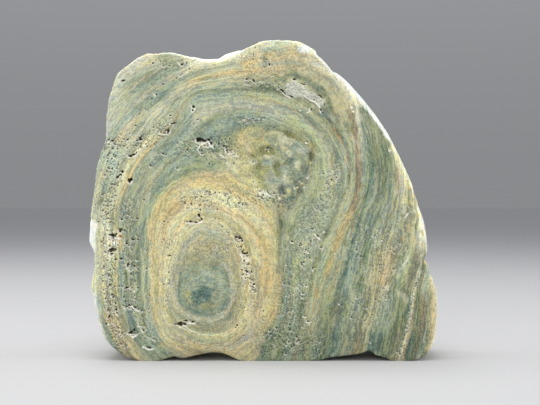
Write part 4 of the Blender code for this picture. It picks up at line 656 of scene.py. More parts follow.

# Streaks of pigment: the points x, z that each follows, its width, pigment, brightness and share. The white
# streaks along the rim, at the end, are partly the paler edge of the stone and partly painted highlight and
# painted reflection on the eased edges
STREAKS = (
    (((-58, 99), (-50, 107), (-44, 113), (-40, 119), (-37, 125)), 3.2, "blue", .82, .65),
    (((-17, 119.5), (-8, 121), (0, 121.5), (7, 119)), 2.6, "teal", .85, .7),
    (((-57, 110), (-62, 105), (-66, 99), (-69.6, 92), (-72, 84)), 2.2, "ochre", 1.08, .7),
    (((-84, 80), (-81, 85), (-78.5, 90)), 2.2, "green", .8, .6),
    (((9, 142.5), (12, 145), (15, 145.8), (22, 142.8), (28, 139), (32.3, 134.5),
      (33.6, 129)), 3.6, "forest", 1.05, .8),
    (((-3, 139), (3, 139.5), (8, 137.8), (14, 134.5)), 2.6, "forest", .85, .8),
    (((44, 128), (46, 120), (47.3, 110), (48.3, 100), (48.3, 90), (47, 82),
      (44.6, 76)), 3.4, "brown", .78, .95),
    (((44.6, 76), (40, 66), (37, 58), (34, 50), (31, 44)), 2.4, "ochre", .85, .7),
    (((6, 119), (12, 116.5), (18, 113.6), (22, 110), (24.6, 105), (25.2, 99)), 1.8, "olive", .62, .6),
    (((50, 122), (53, 112), (54.4, 103), (54.4, 95), (53.4, 88), (52, 82), (50.5, 77), (48.6, 71),
      (46.6, 64), (44.5, 57), (42.5, 50), (41, 44)), 1.5, "deep", 1.05, .85),
    (((58.5, 106), (59.2, 96), (58.6, 87), (57, 80), (54.6, 72), (51.6, 64),
      (49.6, 56)), 1.4, "teal", .75, .75),
    (((64.5, 104), (66, 95), (66, 88), (65, 80)), 1.2, "forest", .95, .75),
    (((51, 127), (56, 121.5), (60, 115.5), (62.6, 109.5), (64, 103)), 3.8, "forest", 1.05, .8),
    (((48.6, 128.4), (52, 123), (55, 117), (57, 109), (57.4, 100)), 3.6, "green", .7, .85),
    (((66.5, 109.5), (69, 103), (71.2, 97), (73, 90.5)), 4.6, "cream", 1.3, .85),
    (((67.6, 98), (68.8, 90), (68.5, 83), (67.8, 77)), 1.6, "brown", 1, .6),
    (((73.2, 92), (73.4, 86), (73.6, 80)), 1, "olive", 1.3, .7),
    (((79.6, 46), (78, 40), (76.4, 35), (75.4, 30), (74.6, 24), (73.2, 16), (71.2, 8),
      (69.4, 3)), 1.4, "lilac", 1.15, .8),
    (((74.6, 31), (73.8, 25), (72.4, 18), (70.4, 10), (69, 5)), 1.1, "deep", 1.1, .8),
    (((70, 46.5), (72.5, 50), (74.6, 55)), 1, "pale", .95, .7),
    (((72, 45), (75, 50), (76.4, 57)), .8, "pale", .9, .6),
    (((36, 79), (40, 84), (42.4, 89), (43, 95)), 1.4, "green", .9, .6),
    (((85.5, 41), (87.6, 33), (88.2, 26), (87.6, 18), (86, 10), (84, 6)), 3.4, "tan", 1.2, .65),
    (((41.5, 75), (38.5, 66), (36, 58)), 2, "ochre", .95, .6),
    (((-44.6, 47), (-46.6, 40), (-46.4, 33), (-44.2, 27), (-40, 23.4), (-34, 21.4), (-27, 21.2),
      (-21.6, 23), (-18, 26.6), (-16, 32), (-15.8, 38), (-17.4, 44.6),
      (-20.6, 49.6)), 2.6, "lilac", .95, .8),
    (((-42.5, 45), (-43.4, 37), (-42.4, 30), (-38.3, 26), (-32.9, 24.2), (-26.5, 24.2), (-22, 26.4),
      (-19.3, 30.5)), 2.1, "teal", .88, .95),
    (((-19.3, 30.5), (-18.7, 34), (-19, 38), (-20.2, 42.7), (-22, 46.4),
      (-26, 47.6)), 1.8, "teal", .86, .95),
    (((-35, 49), (-38.3, 45.9), (-41, 42.7)), 2, "teal", 1, .6),
    (((-47.3, 128.8), (-45.8, 132), (-41.9, 135)), .9, "forest", 1, .7),
    (((-61.8, 129.3), (-57.5, 134.5)), 1, "olive", 1.1, .6),
    (((-50.6, 136.2), (-52.6, 134.8), (-53.3, 133.8)), 1, "teal", .9, .6),
    (((-39.4, 138.2), (-36.1, 140.2), (-30.9, 143.7)), 1.4, "tan", 1, .6),
    (((-62.8, 141.7), (-61.5, 143), (-57.3, 143.7)), 1, "olive", 1.2, .5),
    # Along the rim: white streaks that are partly the stone's paler edge and partly painted highlight on
    # edges facing the top and side lights, with painted reflection on the rounded lower corners
    (((-58, 156.8), (-50, 157.4), (-43.5, 156.6), (-36, 155), (-30, 154.4)), 1.6, "white_and_highlight", 1, .9),
    (((-80.4, 116), (-79, 128), (-76.4, 140), (-70, 149.4), (-60, 155)), 5, "white_and_highlight", .6, .6),
    (((-30, 154.8), (-26, 155), (-22, 155.8), (-16, 157.8), (-11, 158.8)), 3, "white_and_highlight", 1, .9),
    (((26.7, 158.6), (28.2, 156.2), (32, 151.9), (35.4, 148.3), (40, 145.2)), 3.4, "white_and_highlight", 1.05, .95),
    (((39, 144.8), (42.6, 141.6), (49, 134.4), (55.2, 126.8), (60.4, 119.4),
      (64, 113.4)), 2.8, "white_and_highlight", 1.1, .97),
    (((61, 119.6), (64.3, 114.2), (67.4, 108.2), (70.6, 102), (73.2, 96.4), (75.2, 91.6),
      (76.6, 87)), 1.8, "white_and_highlight", .95, .8),
    (((80, 78), (82.2, 70.5), (83.3, 63), (83.6, 56)), 2, "white_and_highlight", 1, .95),
    (((83.4, 51), (85.4, 45), (87.2, 39), (88.8, 34)), 1.1, "white_and_highlight", .9, .8),
    (((88.8, 34), (89.8, 28), (89.9, 22), (89, 15), (87.6, 9), (85, 4.6)), 2.6, "white_and_highlight", 1, .9),
    (((-88, 69), (-89, 62), (-88, 57)), 5, "white_and_highlight", 1.35, .97),
    (((-87.6, 33), (-86.4, 25), (-85.2, 18.5), (-83.6, 12.6)), 4.8, "white_and_highlight", .98, .92),
    (((-83.6, 12.6), (-80.8, 7.4), (-77, 4.6)), 2.4, "white_and_highlight", .95, .9),
)

# Hairline seams: points, width, pigment, brightness and share
SEAMS = (
    (((31.5, 124.5), (34, 121.5), (36.5, 117.5), (38.5, 113.5)), 0.8, "forest", .9, .8),
    (((35.4, 119.4), (36.6, 117.2)), 0.7, "rust", 1.0, .8),
    (((37.4, 115.8), (39.6, 111.4)), 0.7, "rust", 1.0, .85),
    (((39.6, 111.4), (41.3, 107), (42.2, 103)), 0.7, "forest", .8, .85),
    (((41.9, 104.6), (42.6, 101)), 0.6, "rust", .9, .6),
    (((42.6, 101), (43.2, 96), (43.4, 90)), 0.6, "forest", .9, .7),
)

# The pale lens near the top, as its outline
LENS = (
    (10.4, 140.1), (11.3, 141.3), (13.2, 142), (14.6, 143.6), (16, 142.6), (18.3, 141), (20.1, 140.3),
    (22, 139), (25.2, 136.7), (27.3, 136), (30.6, 132.8), (29.7, 130), (28.5, 129), (26.4, 131.1),
    (23.6, 133), (21.8, 134.1), (20.1, 135.5), (18.3, 134.8), (15, 134.8), (12.3, 136.2), (11.1, 137.8),
)

# Porous streaks: the points that each follows, its width and how porous it is
POROUS = (
    (((-78, 112), (-79, 90), (-80, 75), (-79, 55), (-79, 40), (-77, 25), (-73, 8)), 8, 1),
    (((-79, 112), (-68, 111), (-58, 112), (-52, 120)), 8, .8),
    (((-42, 107), (-33, 109), (-18, 107)), 11, .7),
    (((-38, 81), (-27, 83.5), (-14, 82), (0, 84), (9, 81)), 8, 1),
    (((-15, 64), (-10, 55), (-8, 45), (-6, 36)), 6, 1),
    (((-49, 74), (-51, 66), (-49, 54), (-49, 40), (-50, 28)), 4, .5),
    (((-69, 78), (-68, 50), (-68, 30), (-60, 12)), 9, .6),
    (((-40, 58), (-20, 58)), 8, .4),
    (((25, 74), (19, 56), (18, 40), (14, 25), (10, 10)), 15, .5),
    (((36, 97), (32, 84), (27, 70)), 9, .7),
    (((46, 70), (48, 45), (48, 20)), 10, .3),
    (((60, 64), (60, 40), (54, 20)), 12, .45),
    (((79.6, 46), (76.4, 35), (74.6, 24), (71.2, 8), (69, 3)), 2.4, 1),
    (((2, 10), (14, 10), (26, 7)), 15, .6),
    (((-13, 123), (0, 123)), 4, .9),
    (((-8, 142), (4, 141), (12, 139)), 5, .7),
    (((-8, 156), (0, 150), (8, 150)), 10, .45),
    (((-56, 152), (-36, 150)), 6, .4),
    (((-12, 36), (-6, 20), (-10, 12)), 12, .3),
    (((70, 80), (71, 60), (66, 50)), 8, .3),
)

# Mottled rather than layered stone, in the same order of values
MOTTLED = (
    (((2, 106), (10, 100), (14, 90)), 22, 1),
    (((-8, 116), (-8, 104), (-3, 96)), 12, .9),
    (((-40, 112), (-24, 112)), 10, .6),
    (((-8, 153), (6, 154), (20, 156)), 12, .8),
    (((-32, 33), (-30, 46), (-30, 56)), 30, .7),
    (((-40, 84), (-24, 88), (-8, 82), (2, 66), (5, 48), (4, 30)), 9, .5),
    (((-54, 60), (-55, 40), (-54, 25)), 6, .4),
    (((34, 92), (28, 76), (22, 60), (18, 44)), 12, .5),
    (((0, 10), (16, 10)), 16, .7),
)

# Where the layers stand out sharply, in the same order of values
LINED = (
    (((60, 112), (66, 84), (61, 44), (56, 12)), 36, 1),
    (((-72, 96), (-70, 50), (-68, 20)), 15, .6),
    (((-62, 118), (-42, 138), (-12, 146)), 15, .5),
)

# The growth field, and how the logs are blended and their contrast raised
FIELD_UNIT = 50.0
FIELD_STIFFNESS = 2e-4
FIELD_BATCH = 8000
LOG_REACH = 3.0
LOG_FALL = 3.0
CONTRAST = 0.24
CONTRAST_MIDDLE = 0.47

# How the pattern drifts on its way back from the polished face
STEADY_SHARE = 0.12
DRIFT_LUMP = 40

# Pits: which count as big, the rings of points that shape them, their chalky lips with painted highlight on
# the lower side of each pit, the depth that counts as fully hollow, which sets the painted shade inside them,
# and the finest pores
BIG_PIT = 1.4
BIG_PIT_RINGS = (1.12, 1.0, 0.86, 0.62, 0.34, 0.0)
SMALL_PIT_RINGS = (1.0, 0.6, 0.0)
PIT_POINT_GAP = 0.45
LIP_WIDTH = 0.5
LIP_INSIDE = 0.25
# The side of each pit whose lips get painted highlight: below it, where top light falls on the wall
LIT_LIP_SIDE = np.array((-0.3, -0.95))
FULL_HOLLOW_DEPTH = 0.8
PORE_SEED = 7
PORE_DENSITY = 0.10
PORE_SIZES = (0.45, 0.95)

# Places on the flat faces, and the room that the marks keep
ROW_STEP = 0.866
JITTER = 0.12
EDGE_ROOM = 0.55
CLEAR = 0.62
MARK_GAP = 0.22
MARK_STEP = 0.5
MARK_ROOM = 0.35

# Tones of the material's own marks, in linear light. The pore and pit tones are painted highlight and painted
# shade, as noted.
WARM_TINT = (1.1, 1.0, 0.68, 1)
COOL_TINT = (0.88, 1.0, 1.02, 1)
DARK_SEAM = (0.5, 0.62, 0.48, 1)
PALE_SEAM = (0.74, 0.72, 0.52, 1)
# Painted highlight, partly chalk: the pale lips on the lower side of pores
PORE_CHALK_LIT_LIP_TONE = (0.80, 0.77, 0.60, 1)
# Painted shade inside the pores
PORE_SHADE_TONE = (0.09, 0.085, 0.045, 1)
LENS_DARK = (0.27, 0.30, 0.22, 1)
LENS_PALE = (0.62, 0.63, 0.56, 1)
# Pale lips of pits: chalk, with painted highlight on their lower sides
CHALK_LIT_LIP_TONE = (0.92, 0.89, 0.77, 1)
# Painted shade: near black in the depths of the pits
PIT_SHADE_TONE = (0.06, 0.04, 0.018, 1)
SAW_DUST = (0.50, 0.50, 0.40)
FLOOR_GREY = (0.50, 0.50, 0.51, 1)

# The angle in degrees that counts as an edge
SHARP_ANGLE = 38

# The floor's half width and where the lights aim, in metres, and the camera in millimetres
FLOOR_HALF = 12.0
LIGHT_AIM = (0, 0, 0.08)
CAMERA_LENS = 60.0
CAMERA_SENSOR = 36.0
FRAME_WIDTH = 275.4
AIM = (3.06, 80.8)


# Noise and measures

def smooth_step(value, low, high):
    t = np.clip((value - low) / (high - low), 0.0, 1.0)
    return t * t * (3 - 2 * t)


def lattice_value(i, j, k, seed):
    """A repeatable value from -1 to 1 for each whole-number place."""
    mixed = (i * 73856093) ^ (j * 19349663) ^ (k * 83492791) ^ (seed * 26544357)
    mixed = (mixed & 0x7FFFFFFF) * 1274126177
    mixed = (mixed ^ (mixed >> 15)) & 0x7FFFFFFF
    mixed = mixed * 668265263
    return ((mixed ^ (mixed >> 13)) & 0xFFFF) / 32767.5 - 1.0


def soft_noise(places, size, seed):
    """Smooth noise from -1 to 1 at rows of x, y, z, with lumps of the given size."""
    scaled = places / size
    cell = np.floor(scaled).astype(np.int64)
    t = scaled - cell
    t = t * t * (3 - 2 * t)
    total = np.zeros(len(places))
    for corner in range(8):
        step = np.array((corner & 1, corner >> 1 & 1, corner >> 2 & 1))
        share = np.prod(np.where(step, t, 1 - t), axis=1)
        total += share * lattice_value(*(cell + step).T, seed)
    return total


def flat_places(x, z):
    """Rows of x, y, z on the plane of a face."""
    return np.column_stack([x, np.zeros(len(x)), z])


def turned(x, z, along, across, turn):
    """The place that lies so far along and across a turned direction from x, z."""
    return (
        x + along * math.cos(turn) - across * math.sin(turn),
        z + along * math.sin(turn) + across * math.cos(turn),
    )


def line_distance(x, z, line):
    """How far each place lies from a run of points."""
    best = np.full(x.shape, 1e9)
    for (ax, az), (bx, bz) in zip(line, line[1:]):
        ux = bx - ax
        uz = bz - az
        t = np.clip(((x - ax) * ux + (z - az) * uz) / (ux * ux + uz * uz), 0, 1)
        best = np.minimum(best, np.hypot(x - ax - t * ux, z - az - t * uz))
    return best


def inside_outline(x, z, outline):
    """How far inside a closed outline each place lies, below 0 where it is outside."""
    corners = list(outline) + [outline[0]]
    within = np.zeros(x.shape, bool)
    for (ax, az), (bx, bz) in zip(corners, corners[1:]):
        crosses = (az > z) != (bz > z)
        at = ax + (z - az) * (bx - ax) / (bz - az if bz != az else 1e-9)
        within ^= crosses & (x < at)
    return np.where(within, 1.0, -1.0) * line_distance(x, z, corners)


# Growth layers

def bend(squares):
    """The bending of a thin sheet at squared distances from where it is held."""
    return 0.5 * squares * np.log(np.maximum(squares, 1e-12))


def growth_field():
    """A function of x and z that gives the number of the growth layer, smooth through the guide points."""
    rows = np.array([(x, z, layer) for layer, line in GROWTH_LINES.items() for x, z in line], float)
    held = rows[:, :2] / FIELD_UNIT
    count = len(held)
    gaps = ((held[:, None] - held[None]) ** 2).sum(-1)
    plane = np.hstack([np.ones((count, 1)), held])
    system = np.zeros((count + 3, count + 3))
    system[:count, :count] = bend(gaps) + FIELD_STIFFNESS * np.eye(count)
    system[:count, count:] = plane
    system[count:, :count] = plane.T
    pulls = np.linalg.solve(system, np.append(rows[:, 2], np.zeros(3)))

    def layer_at(x, z):
        spots = np.column_stack([x, z]) / FIELD_UNIT
        layer = np.empty(len(spots))
        for start in range(0, len(spots), FIELD_BATCH):
            part = spots[start:start + FIELD_BATCH]
            squares = ((part[:, None] - held[None]) ** 2).sum(-1)
            bent = bend(squares) @ pulls[:count]
            layer[start:start + FIELD_BATCH] = bent + pulls[count] + part @ pulls[count + 1:]
        return layer

    return layer_at


def read_log(text):
    """The layers and the colours that one log names."""
    layers = []
    colours = []
    for entry in text.split(","):
        layer, pigment, brightness = entry.split()
        layers.append(float(layer))
        colours.append(np.array(PIGMENTS[pigment]) * float(brightness))
    return np.array(layers), np.array(colours)


def logged_colour(x, z, layer):
    """The colour that the logs give at each place, the nearest log counting most."""
    total = np.zeros((len(x), 3))
    weight = np.zeros(len(x))
    for line, text in LOGS:
        layers, colours = read_log(text)
        share = (line_distance(x, z, line) + LOG_REACH) ** -LOG_FALL
        band = np.column_stack([np.interp(layer, layers, colours[:, c]) for c in range(3)])
        total += band * share[:, None]
        weight += share
    return total / weight[:, None]


def laid_on(colour, mask, pigment, brightness):
    return colour + (np.array(PIGMENTS[pigment]) * brightness - colour) * mask[:, None]


def streak_mask(x, z, line, width, ragged):
    return 1.0 - smooth_step(line_distance(x, z, line) / (width / 2) + 0.6 * ragged, 0.45, 1.35)


def ellipse_reach(x, z, middle, length, width, tilt):
    """How far places lie from a tilted ellipse's middle, as a share of its outline."""
    turn = math.radians(tilt)
    away_x = x - middle[0]
    away_z = z - middle[1]
    along = (away_x * math.cos(turn) + away_z * math.sin(turn)) / (length / 2)
    across = (away_z * math.cos(turn) - away_x * math.sin(turn)) / (width / 2)
    return np.hypot(along, across)


def stone_colour(places, layer):
    """The middle tone of the stone at rows of x, y, z, from the logs, patches, streaks and seams."""
    x = places[:, 0]
    z = places[:, 2]
    ragged = 0.65 * soft_noise(places, 3.0, 11) + 0.35 * soft_noise(places, 1.3, 12)
    colour = logged_colour(x, z, layer)
    light = colour @ np.array((0.3, 0.6, 0.1))
    colour *= ((light / CONTRAST_MIDDLE) ** CONTRAST)[:, None]
    for line, width, pigment, brightness, share in STREAKS:
        colour = laid_on(colour, share * streak_mask(x, z, line, width, ragged), pigment, brightness)
    for px, pz, length, width, tilt, pigment, brightness, share in PATCHES:
        reach = ellipse_reach(x, z, (px, pz), length, width, tilt)
        mask = share * (1.0 - smooth_step(reach + 0.5 * ragged, 0.5, 1.3))
        colour = laid_on(colour, mask, pigment, brightness)
    for px, pz, length, width, tilt, pigment, brightness in SPECKS:
        reach = ellipse_reach(x, z, (px, pz), length, width, tilt)
        colour = laid_on(colour, 1.0 - smooth_step(reach + 0.25 * ragged, 0.75, 1.25), pigment, brightness)
    for line, width, pigment, brightness, share in SEAMS:
        mask = share * (1.0 - smooth_step(line_distance(x, z, line), width * 0.35, width * 0.9))
        colour = laid_on(colour, mask, pigment, brightness)
    lens = smooth_step(inside_outline(x, z, LENS) + 0.5 * ragged, -0.3, 0.5)
    colour = laid_on(colour, lens, "chalk", 0.86)
    return colour, lens


def streaky(x, z, rows, ragged):
    """The strongest of several soft streaks at each place."""
    mask = np.zeros(len(x))
    for line, width, strength in rows:
        mask = np.maximum(mask, strength * streak_mask(x, z, line, width, ragged))
    return mask


# Outline of the slab

def rim_curve(a, b, c, d, t):
    """The point at share t between b and c on the smooth curve through a, b, c and d."""
    return 0.5 * (
        2 * b + (c - a) * t + (2 * a - 5 * b + 4 * c - d) * t ** 2 + (3 * b - a - 3 * c + d) * t ** 3
    )


def sampled_rim():
    """Even steps round the rim, each a row x, z, eased width."""
    points = np.array(RIM, float)
    fine = 12
    dense = []
    for i in range(len(points)):
        near = [points[(i + k) % len(points)] for k in (-1, 0, 1, 2)]
        dense += [rim_curve(*near, step / fine) for step in range(fine)]
    dense.append(dense[0])
    dense = np.array(dense)
    run = np.append(0.0, np.cumsum(np.hypot(*np.diff(dense[:, :2], axis=0).T)))
    steps = round(run[-1] / RIM_PITCH)
    targets = run[-1] * np.arange(steps) / steps
    return np.column_stack([np.interp(targets, run, dense[:, c]) for c in range(3)]), run[-1]


def inward_normals(rim):
    reach = round(NORMAL_REACH / RIM_PITCH)
    along = np.roll(rim[:, :2], -reach, axis=0) - np.roll(rim[:, :2], reach, axis=0)
    inward = np.column_stack([-along[:, 1], along[:, 0]])
    return inward / np.hypot(*inward.T)[:, None]


def flank_inset(x, z, depth):
    """How far the rough flank lies behind the rim, as in the solid."""
    free = smooth_step(z, *FOOT_RISE)
    share = depth / THICKNESS
    spot = Vector((x, depth, z))
    taper = FLANK_TAPER * share ** 2 * (1.0 + noise.noise(spot / (4 * KNOB_SIZE)))
    crease = 1.0 - min(1.0, KNOB_SHARPNESS * abs(noise.noise(spot / KNOB_SIZE)))
    grit = 0.5 + noise.noise(spot / GRIT_SIZE)
    rough = KNOB_CREASE * crease ** 2 + GRIT_DEPTH * grit
    return free * max(0.0, taper + rough * smooth_step(share, *FLANK_START))


def weathered(places, depth, free):
    """The fine relief of the flank, always inward."""
    lumps = 0.5 * (1 + soft_noise(places, 3.4, 21)) * 0.55
    grains = 0.5 * (1 + soft_noise(places, 1.5, 22)) * 0.35
    return (lumps + grains) * free * smooth_step(depth, 3.0, 9.0)


def flank_pit_depth(around, depth, rim_length):
    """How deep the flank's pits are at each distance round the rim and depth from the front."""
    hollow = np.zeros(around.shape)
    for rim_share, depth_share, length, width, most in FLANK_PITS:
        gap = (around - rim_share * rim_length + rim_length / 2) % rim_length - rim_length / 2
        reach = np.hypot(gap / (length / 2), (depth - depth_share * THICKNESS) / (width / 2))
        hollow = np.maximum(hollow, most * np.sqrt(np.clip(1 - reach ** 2, 0, 1)))
    return hollow


def slab_rings(rim, normals, rim_length):
    """The rings of the flank from the polished face to the sawn back, as rows of x, y, z, and their pits."""
    count = len(rim)
    around = np.arange(count) * rim_length / count
    flat = flat_places(rim[:, 0], rim[:, 1])
    ragged = 0.5 + 0.25 * soft_noise(flat, 3.2, 31) + 0.35 * soft_noise(flat, 1.5, 32)
    bite = 0.75 * ragged * (1 - smooth_step(rim[:, 2], 1.2, 2.4)) * smooth_step(rim[:, 1], 3, 10)
    edge = rim[:, :2] + normals * bite[:, None]
    width = rim[:, 2]
    free = smooth_step(rim[:, 1], *FOOT_RISE)
    rings = []
    pits = []
    for k in range(EASED_RINGS + 1):
        angle = math.pi / 2 * k / EASED_RINGS
        depth = EDGE_LEAN * width * (1 - math.cos(angle))
        rings.append((depth, width * (1 - math.sin(angle)), np.zeros(count)))
    start = EDGE_LEAN * width
    end = THICKNESS - SAWN_EDGE_DEPTH
    for k in range(1, FLANK_ROWS + 1):
        depth = start + (end - start) * k / FLANK_ROWS
        inset = np.array([flank_inset(x, z, d) for x, z, d in zip(edge[:, 0], edge[:, 1], depth)])
        place = np.column_stack([edge[:, 0], depth, edge[:, 1]])
        inset += weathered(place, depth, free)
        hollow = flank_pit_depth(around, depth, rim_length)
        rings.append((depth, inset + hollow, hollow))
    last = rings[-1][1]
    rings.append((np.full(count, THICKNESS), last + SAWN_EDGE_INSET * (0.7 + 0.5 * ragged), np.zeros(count)))
    placed = []
    for depth, inset, hollow in rings:
        spot = edge + normals * inset[:, None]
        placed.append(np.column_stack([spot[:, 0], FRONT_Y + depth, np.maximum(spot[:, 1], 0.0)]))
        pits.append(hollow)
    return np.array(placed), np.array(pits)


# Pits

def all_face_pits():
    """The pits of the polished face as rows x, z, length, width, tilt, depth, with fine seeded pores."""
    draw = random.Random(PORE_SEED)
    rows = [tuple(pit) for pit in FACE_PITS]
    rows += [(x, z, length, width, tilt, 0.9 * width + 0.2) for x, z, length, width, tilt in SMALL_PITS]
    for line, width, strength in POROUS:
        for (ax, az), (bx, bz) in zip(line, line[1:]):
            run = math.hypot(bx - ax, bz - az)
            for _ in range(round(run * width * strength * PORE_DENSITY)):
                t = draw.random()
                off = draw.gauss(0, 0.3) * width
                size = draw.uniform(*PORE_SIZES)
                x = ax + (bx - ax) * t - (bz - az) / run * off
                z = az + (bz - az) * t + (bx - ax) / run * off
                rows.append((x, z, size * draw.uniform(1, 1.5), size, draw.uniform(-60, 60), size * 0.9))
    return np.array(rows)


def pit_reach(x, z, pits, seeds):
    """How far places lie from a pit's middle, as a share of its ragged outline, one row of a pit each."""
    flat = flat_places(x, z)
    shift = 0.16 * pits[:, 3] + 0.1
    away_x = x + shift * soft_noise(flat, 1.5, 71) - pits[:, 0]
    away_z = z + shift * soft_noise(flat, 1.5, 72) - pits[:, 1]
    turn = np.radians(pits[:, 4])
    along = (away_x * np.cos(turn) + away_z * np.sin(turn)) / (pits[:, 2] / 2)
    across = (away_z * np.cos(turn) - away_x * np.sin(turn)) / (pits[:, 3] / 2)
    bearing = np.arctan2(across, along)
    ragged = 1 + 0.13 * np.sin(2 * bearing + seeds * 1.7) + 0.10 * np.sin(3 * bearing + seeds * 2.9)
    ragged += 0.09 * np.sin(5 * bearing + seeds * 4.3) * (pits[:, 2] > BIG_PIT)
    return np.hypot(along, across) / ragged


def pit_points(pits):
    """Points on the rings of every pit, which shape its mouth and its wall."""
    spots = []
    for number, (x, z, length, width, tilt, _) in enumerate(pits):
        turn = math.radians(tilt)
        for share in BIG_PIT_RINGS if length > BIG_PIT else SMALL_PIT_RINGS:
            around = math.pi * (length + width) / 2 * share
            steps = max(6, round(around / PIT_POINT_GAP)) if share else 1
            for k in range(steps):
                bearing = 2 * math.pi * (k + 0.5 * (share < 1)) / steps
                along = math.cos(bearing) * length / 2
                across = math.sin(bearing) * width / 2
                spots.append((x, z, *turned(0, 0, along, across, turn), share, number))
    spots = np.array(spots)
    numbers = spots[:, 5].astype(int)
    away = spots[:, 2:4]
    near = pit_reach(spots[:, 0] + away[:, 0], spots[:, 1] + away[:, 1], pits[numbers], numbers)
    scale = spots[:, 4] / np.maximum(near, 0.4)
    return spots[:, :2] + away * scale[:, None]


def near_pits(x, z, pits, room):
    """Pairs of a place and a pit that it lies near."""
    pairs = []
    for number, pit in enumerate(pits):
        near = pit[2] * 0.7 + room
        close = np.flatnonzero((abs(x - pit[0]) < near) & (abs(z - pit[1]) < near))
        pairs.append(np.column_stack([close, np.full(len(close), number)]))
    return np.concatenate(pairs).T


def hollow_depth(x, z, pits):
    """How deep the pits are at each place, and how pale its rim is: chalk, with painted highlight that is
    strongest below a pit, where top light falls on its wall.
    """
    flat = flat_places(x, z)
    patchy = 0.5 + 0.5 * soft_noise(flat, 1.2, 73)
    place, number = near_pits(x, z, pits, LIP_WIDTH)
    rows = pits[number]
    reach = pit_reach(x[place], z[place], rows, number)
    wall = np.clip(1 - reach ** 2.4, 0, 1) ** 0.6
    depth = np.zeros(len(x))
    np.maximum.at(depth, place, rows[:, 5] * wall)
    beyond = (reach - 1) * rows[:, 3] / 2
    edge = np.clip(1 - np.maximum(beyond, 0) / LIP_WIDTH, 0, 1) * np.clip(1 + beyond / LIP_INSIDE, 0, 1)
    # Painted highlight: the rim brightens on the lower side of each pit and fades out on the upper side
    away = np.column_stack([x[place], z[place]]) - rows[:, :2]
    below = away @ LIT_LIP_SIDE / np.maximum(np.hypot(*away.T), 1e-6)
    strength = np.clip(0.35 + 1.1 * below, 0.0, 1) * (0.6 + 0.8 * patchy[place])
    chalk_and_lit_lip = np.zeros(len(x))
    np.maximum.at(chalk_and_lit_lip, place, edge * strength * np.clip(rows[:, 3] / 0.9 - 0.45, 0.2, 1))
    return depth, np.clip(chalk_and_lit_lip, 0, 1)


def lining_and_lit_lip_mask(x, z):
    """How much of a pale lining each place has: chalk, and painted highlight on the lower lips of pits."""
    flat = flat_places(x, z)
    ragged = 0.55 * soft_noise(flat, 1.0, 74) + 0.25
    mask = np.zeros(len(x))
    for line, width, strength in LININGS_AND_LIT_LIPS:
        reach = line_distance(x, z, line) / (width / 2) + ragged
        mask = np.maximum(mask, strength * (1 - smooth_step(reach, 0.7, 1.5)))
    return mask


def fine_marks():
    """Points that keep the edges of the linings, with their painted highlight, and the specks sharp."""
    points = []
    for line, width, _ in LININGS_AND_LIT_LIPS:
        for (ax, az), (bx, bz) in zip(line, line[1:]):
            run = math.hypot(bx - ax, bz - az)
            steps = max(1, round(run / MARK_STEP))
            for k in range(steps + 1):
                x = ax + (bx - ax) * k / steps
                z = az + (bz - az) * k / steps
                for off in (-0.9, -0.3, 0.3, 0.9):
                    points.append((x - (bz - az) / run * off * width, z + (bx - ax) / run * off * width))
    for x, z, length, width, tilt, _, _ in SPECKS:
        turn = math.radians(tilt)
        points.append((x, z))
        for share, steps in ((0.6, 6), (1.25, 9)):
            for k in range(steps):
                bearing = 2 * math.pi * k / steps
                along = math.cos(bearing) * length / 2 * share
                across = math.sin(bearing) * width / 2 * share
                points.append(turned(x, z, along, across, turn))
    return np.array(points)


# Faces

def even_places(outline, pitch, seed):
    """Jittered places in even rows inside an outline, clear of its edge."""
    draw = np.random.default_rng(seed)
    low = outline.min(axis=0)
    high = outline.max(axis=0)
    rows = []
    for j, z in enumerate(np.arange(low[1], high[1], pitch * ROW_STEP)):
        x = np.arange(low[0] + (j % 2) * pitch / 2, high[0], pitch)
        rows.append(np.column_stack([x, np.full(len(x), z)]))
    places = np.concatenate(rows)
    places += draw.uniform(-JITTER, JITTER, places.shape) * pitch
    depth_inside = inside_outline(places[:, 0], places[:, 1], [tuple(p) for p in outline])
    return places[depth_inside > pitch * EDGE_ROOM]


def thinned(points, gap):
    """Points with none closer than about the gap to another."""
    kept = {}
    for x, z in points:
        kept.setdefault((round(x / gap), round(z / gap)), (x, z))
    return np.array(list(kept.values()))


def flat_face(outline, pitch, pits, extra, seed):
    """Places inside an outline and the triangles that join them and the outline, with room for the pits."""
    places = even_places(outline, pitch, seed)
    marks = thinned(np.concatenate([pit_points(pits), extra]), MARK_GAP)
    busy = {(round(x / CLEAR), round(z / CLEAR)) for x, z in marks}
    cells = np.round(places / CLEAR).astype(int)
    free = np.array([tuple(cell) not in busy for cell in cells.tolist()])
    inside = inside_outline(marks[:, 0], marks[:, 1], [tuple(p) for p in outline]) > MARK_ROOM
    places = np.concatenate([places[free], marks[inside]])
    count = len(outline)
    every = [Vector(p) for p in outline] + [Vector(p) for p in places]
    edges = [(i, (i + 1) % count) for i in range(count)]
    made = delaunay_2d_cdt(every, edges, [], 1, 1e-5)
    triangles = made[2]
    if len(made[0]) != len(every):
        raise ValueError(f"the face's outline crosses itself: {len(made[0])} places from {len(every)}")
    order = [source[0] for source in made[3]]
    return places, [tuple(order[i] for i in face) for face in triangles]


# The slab

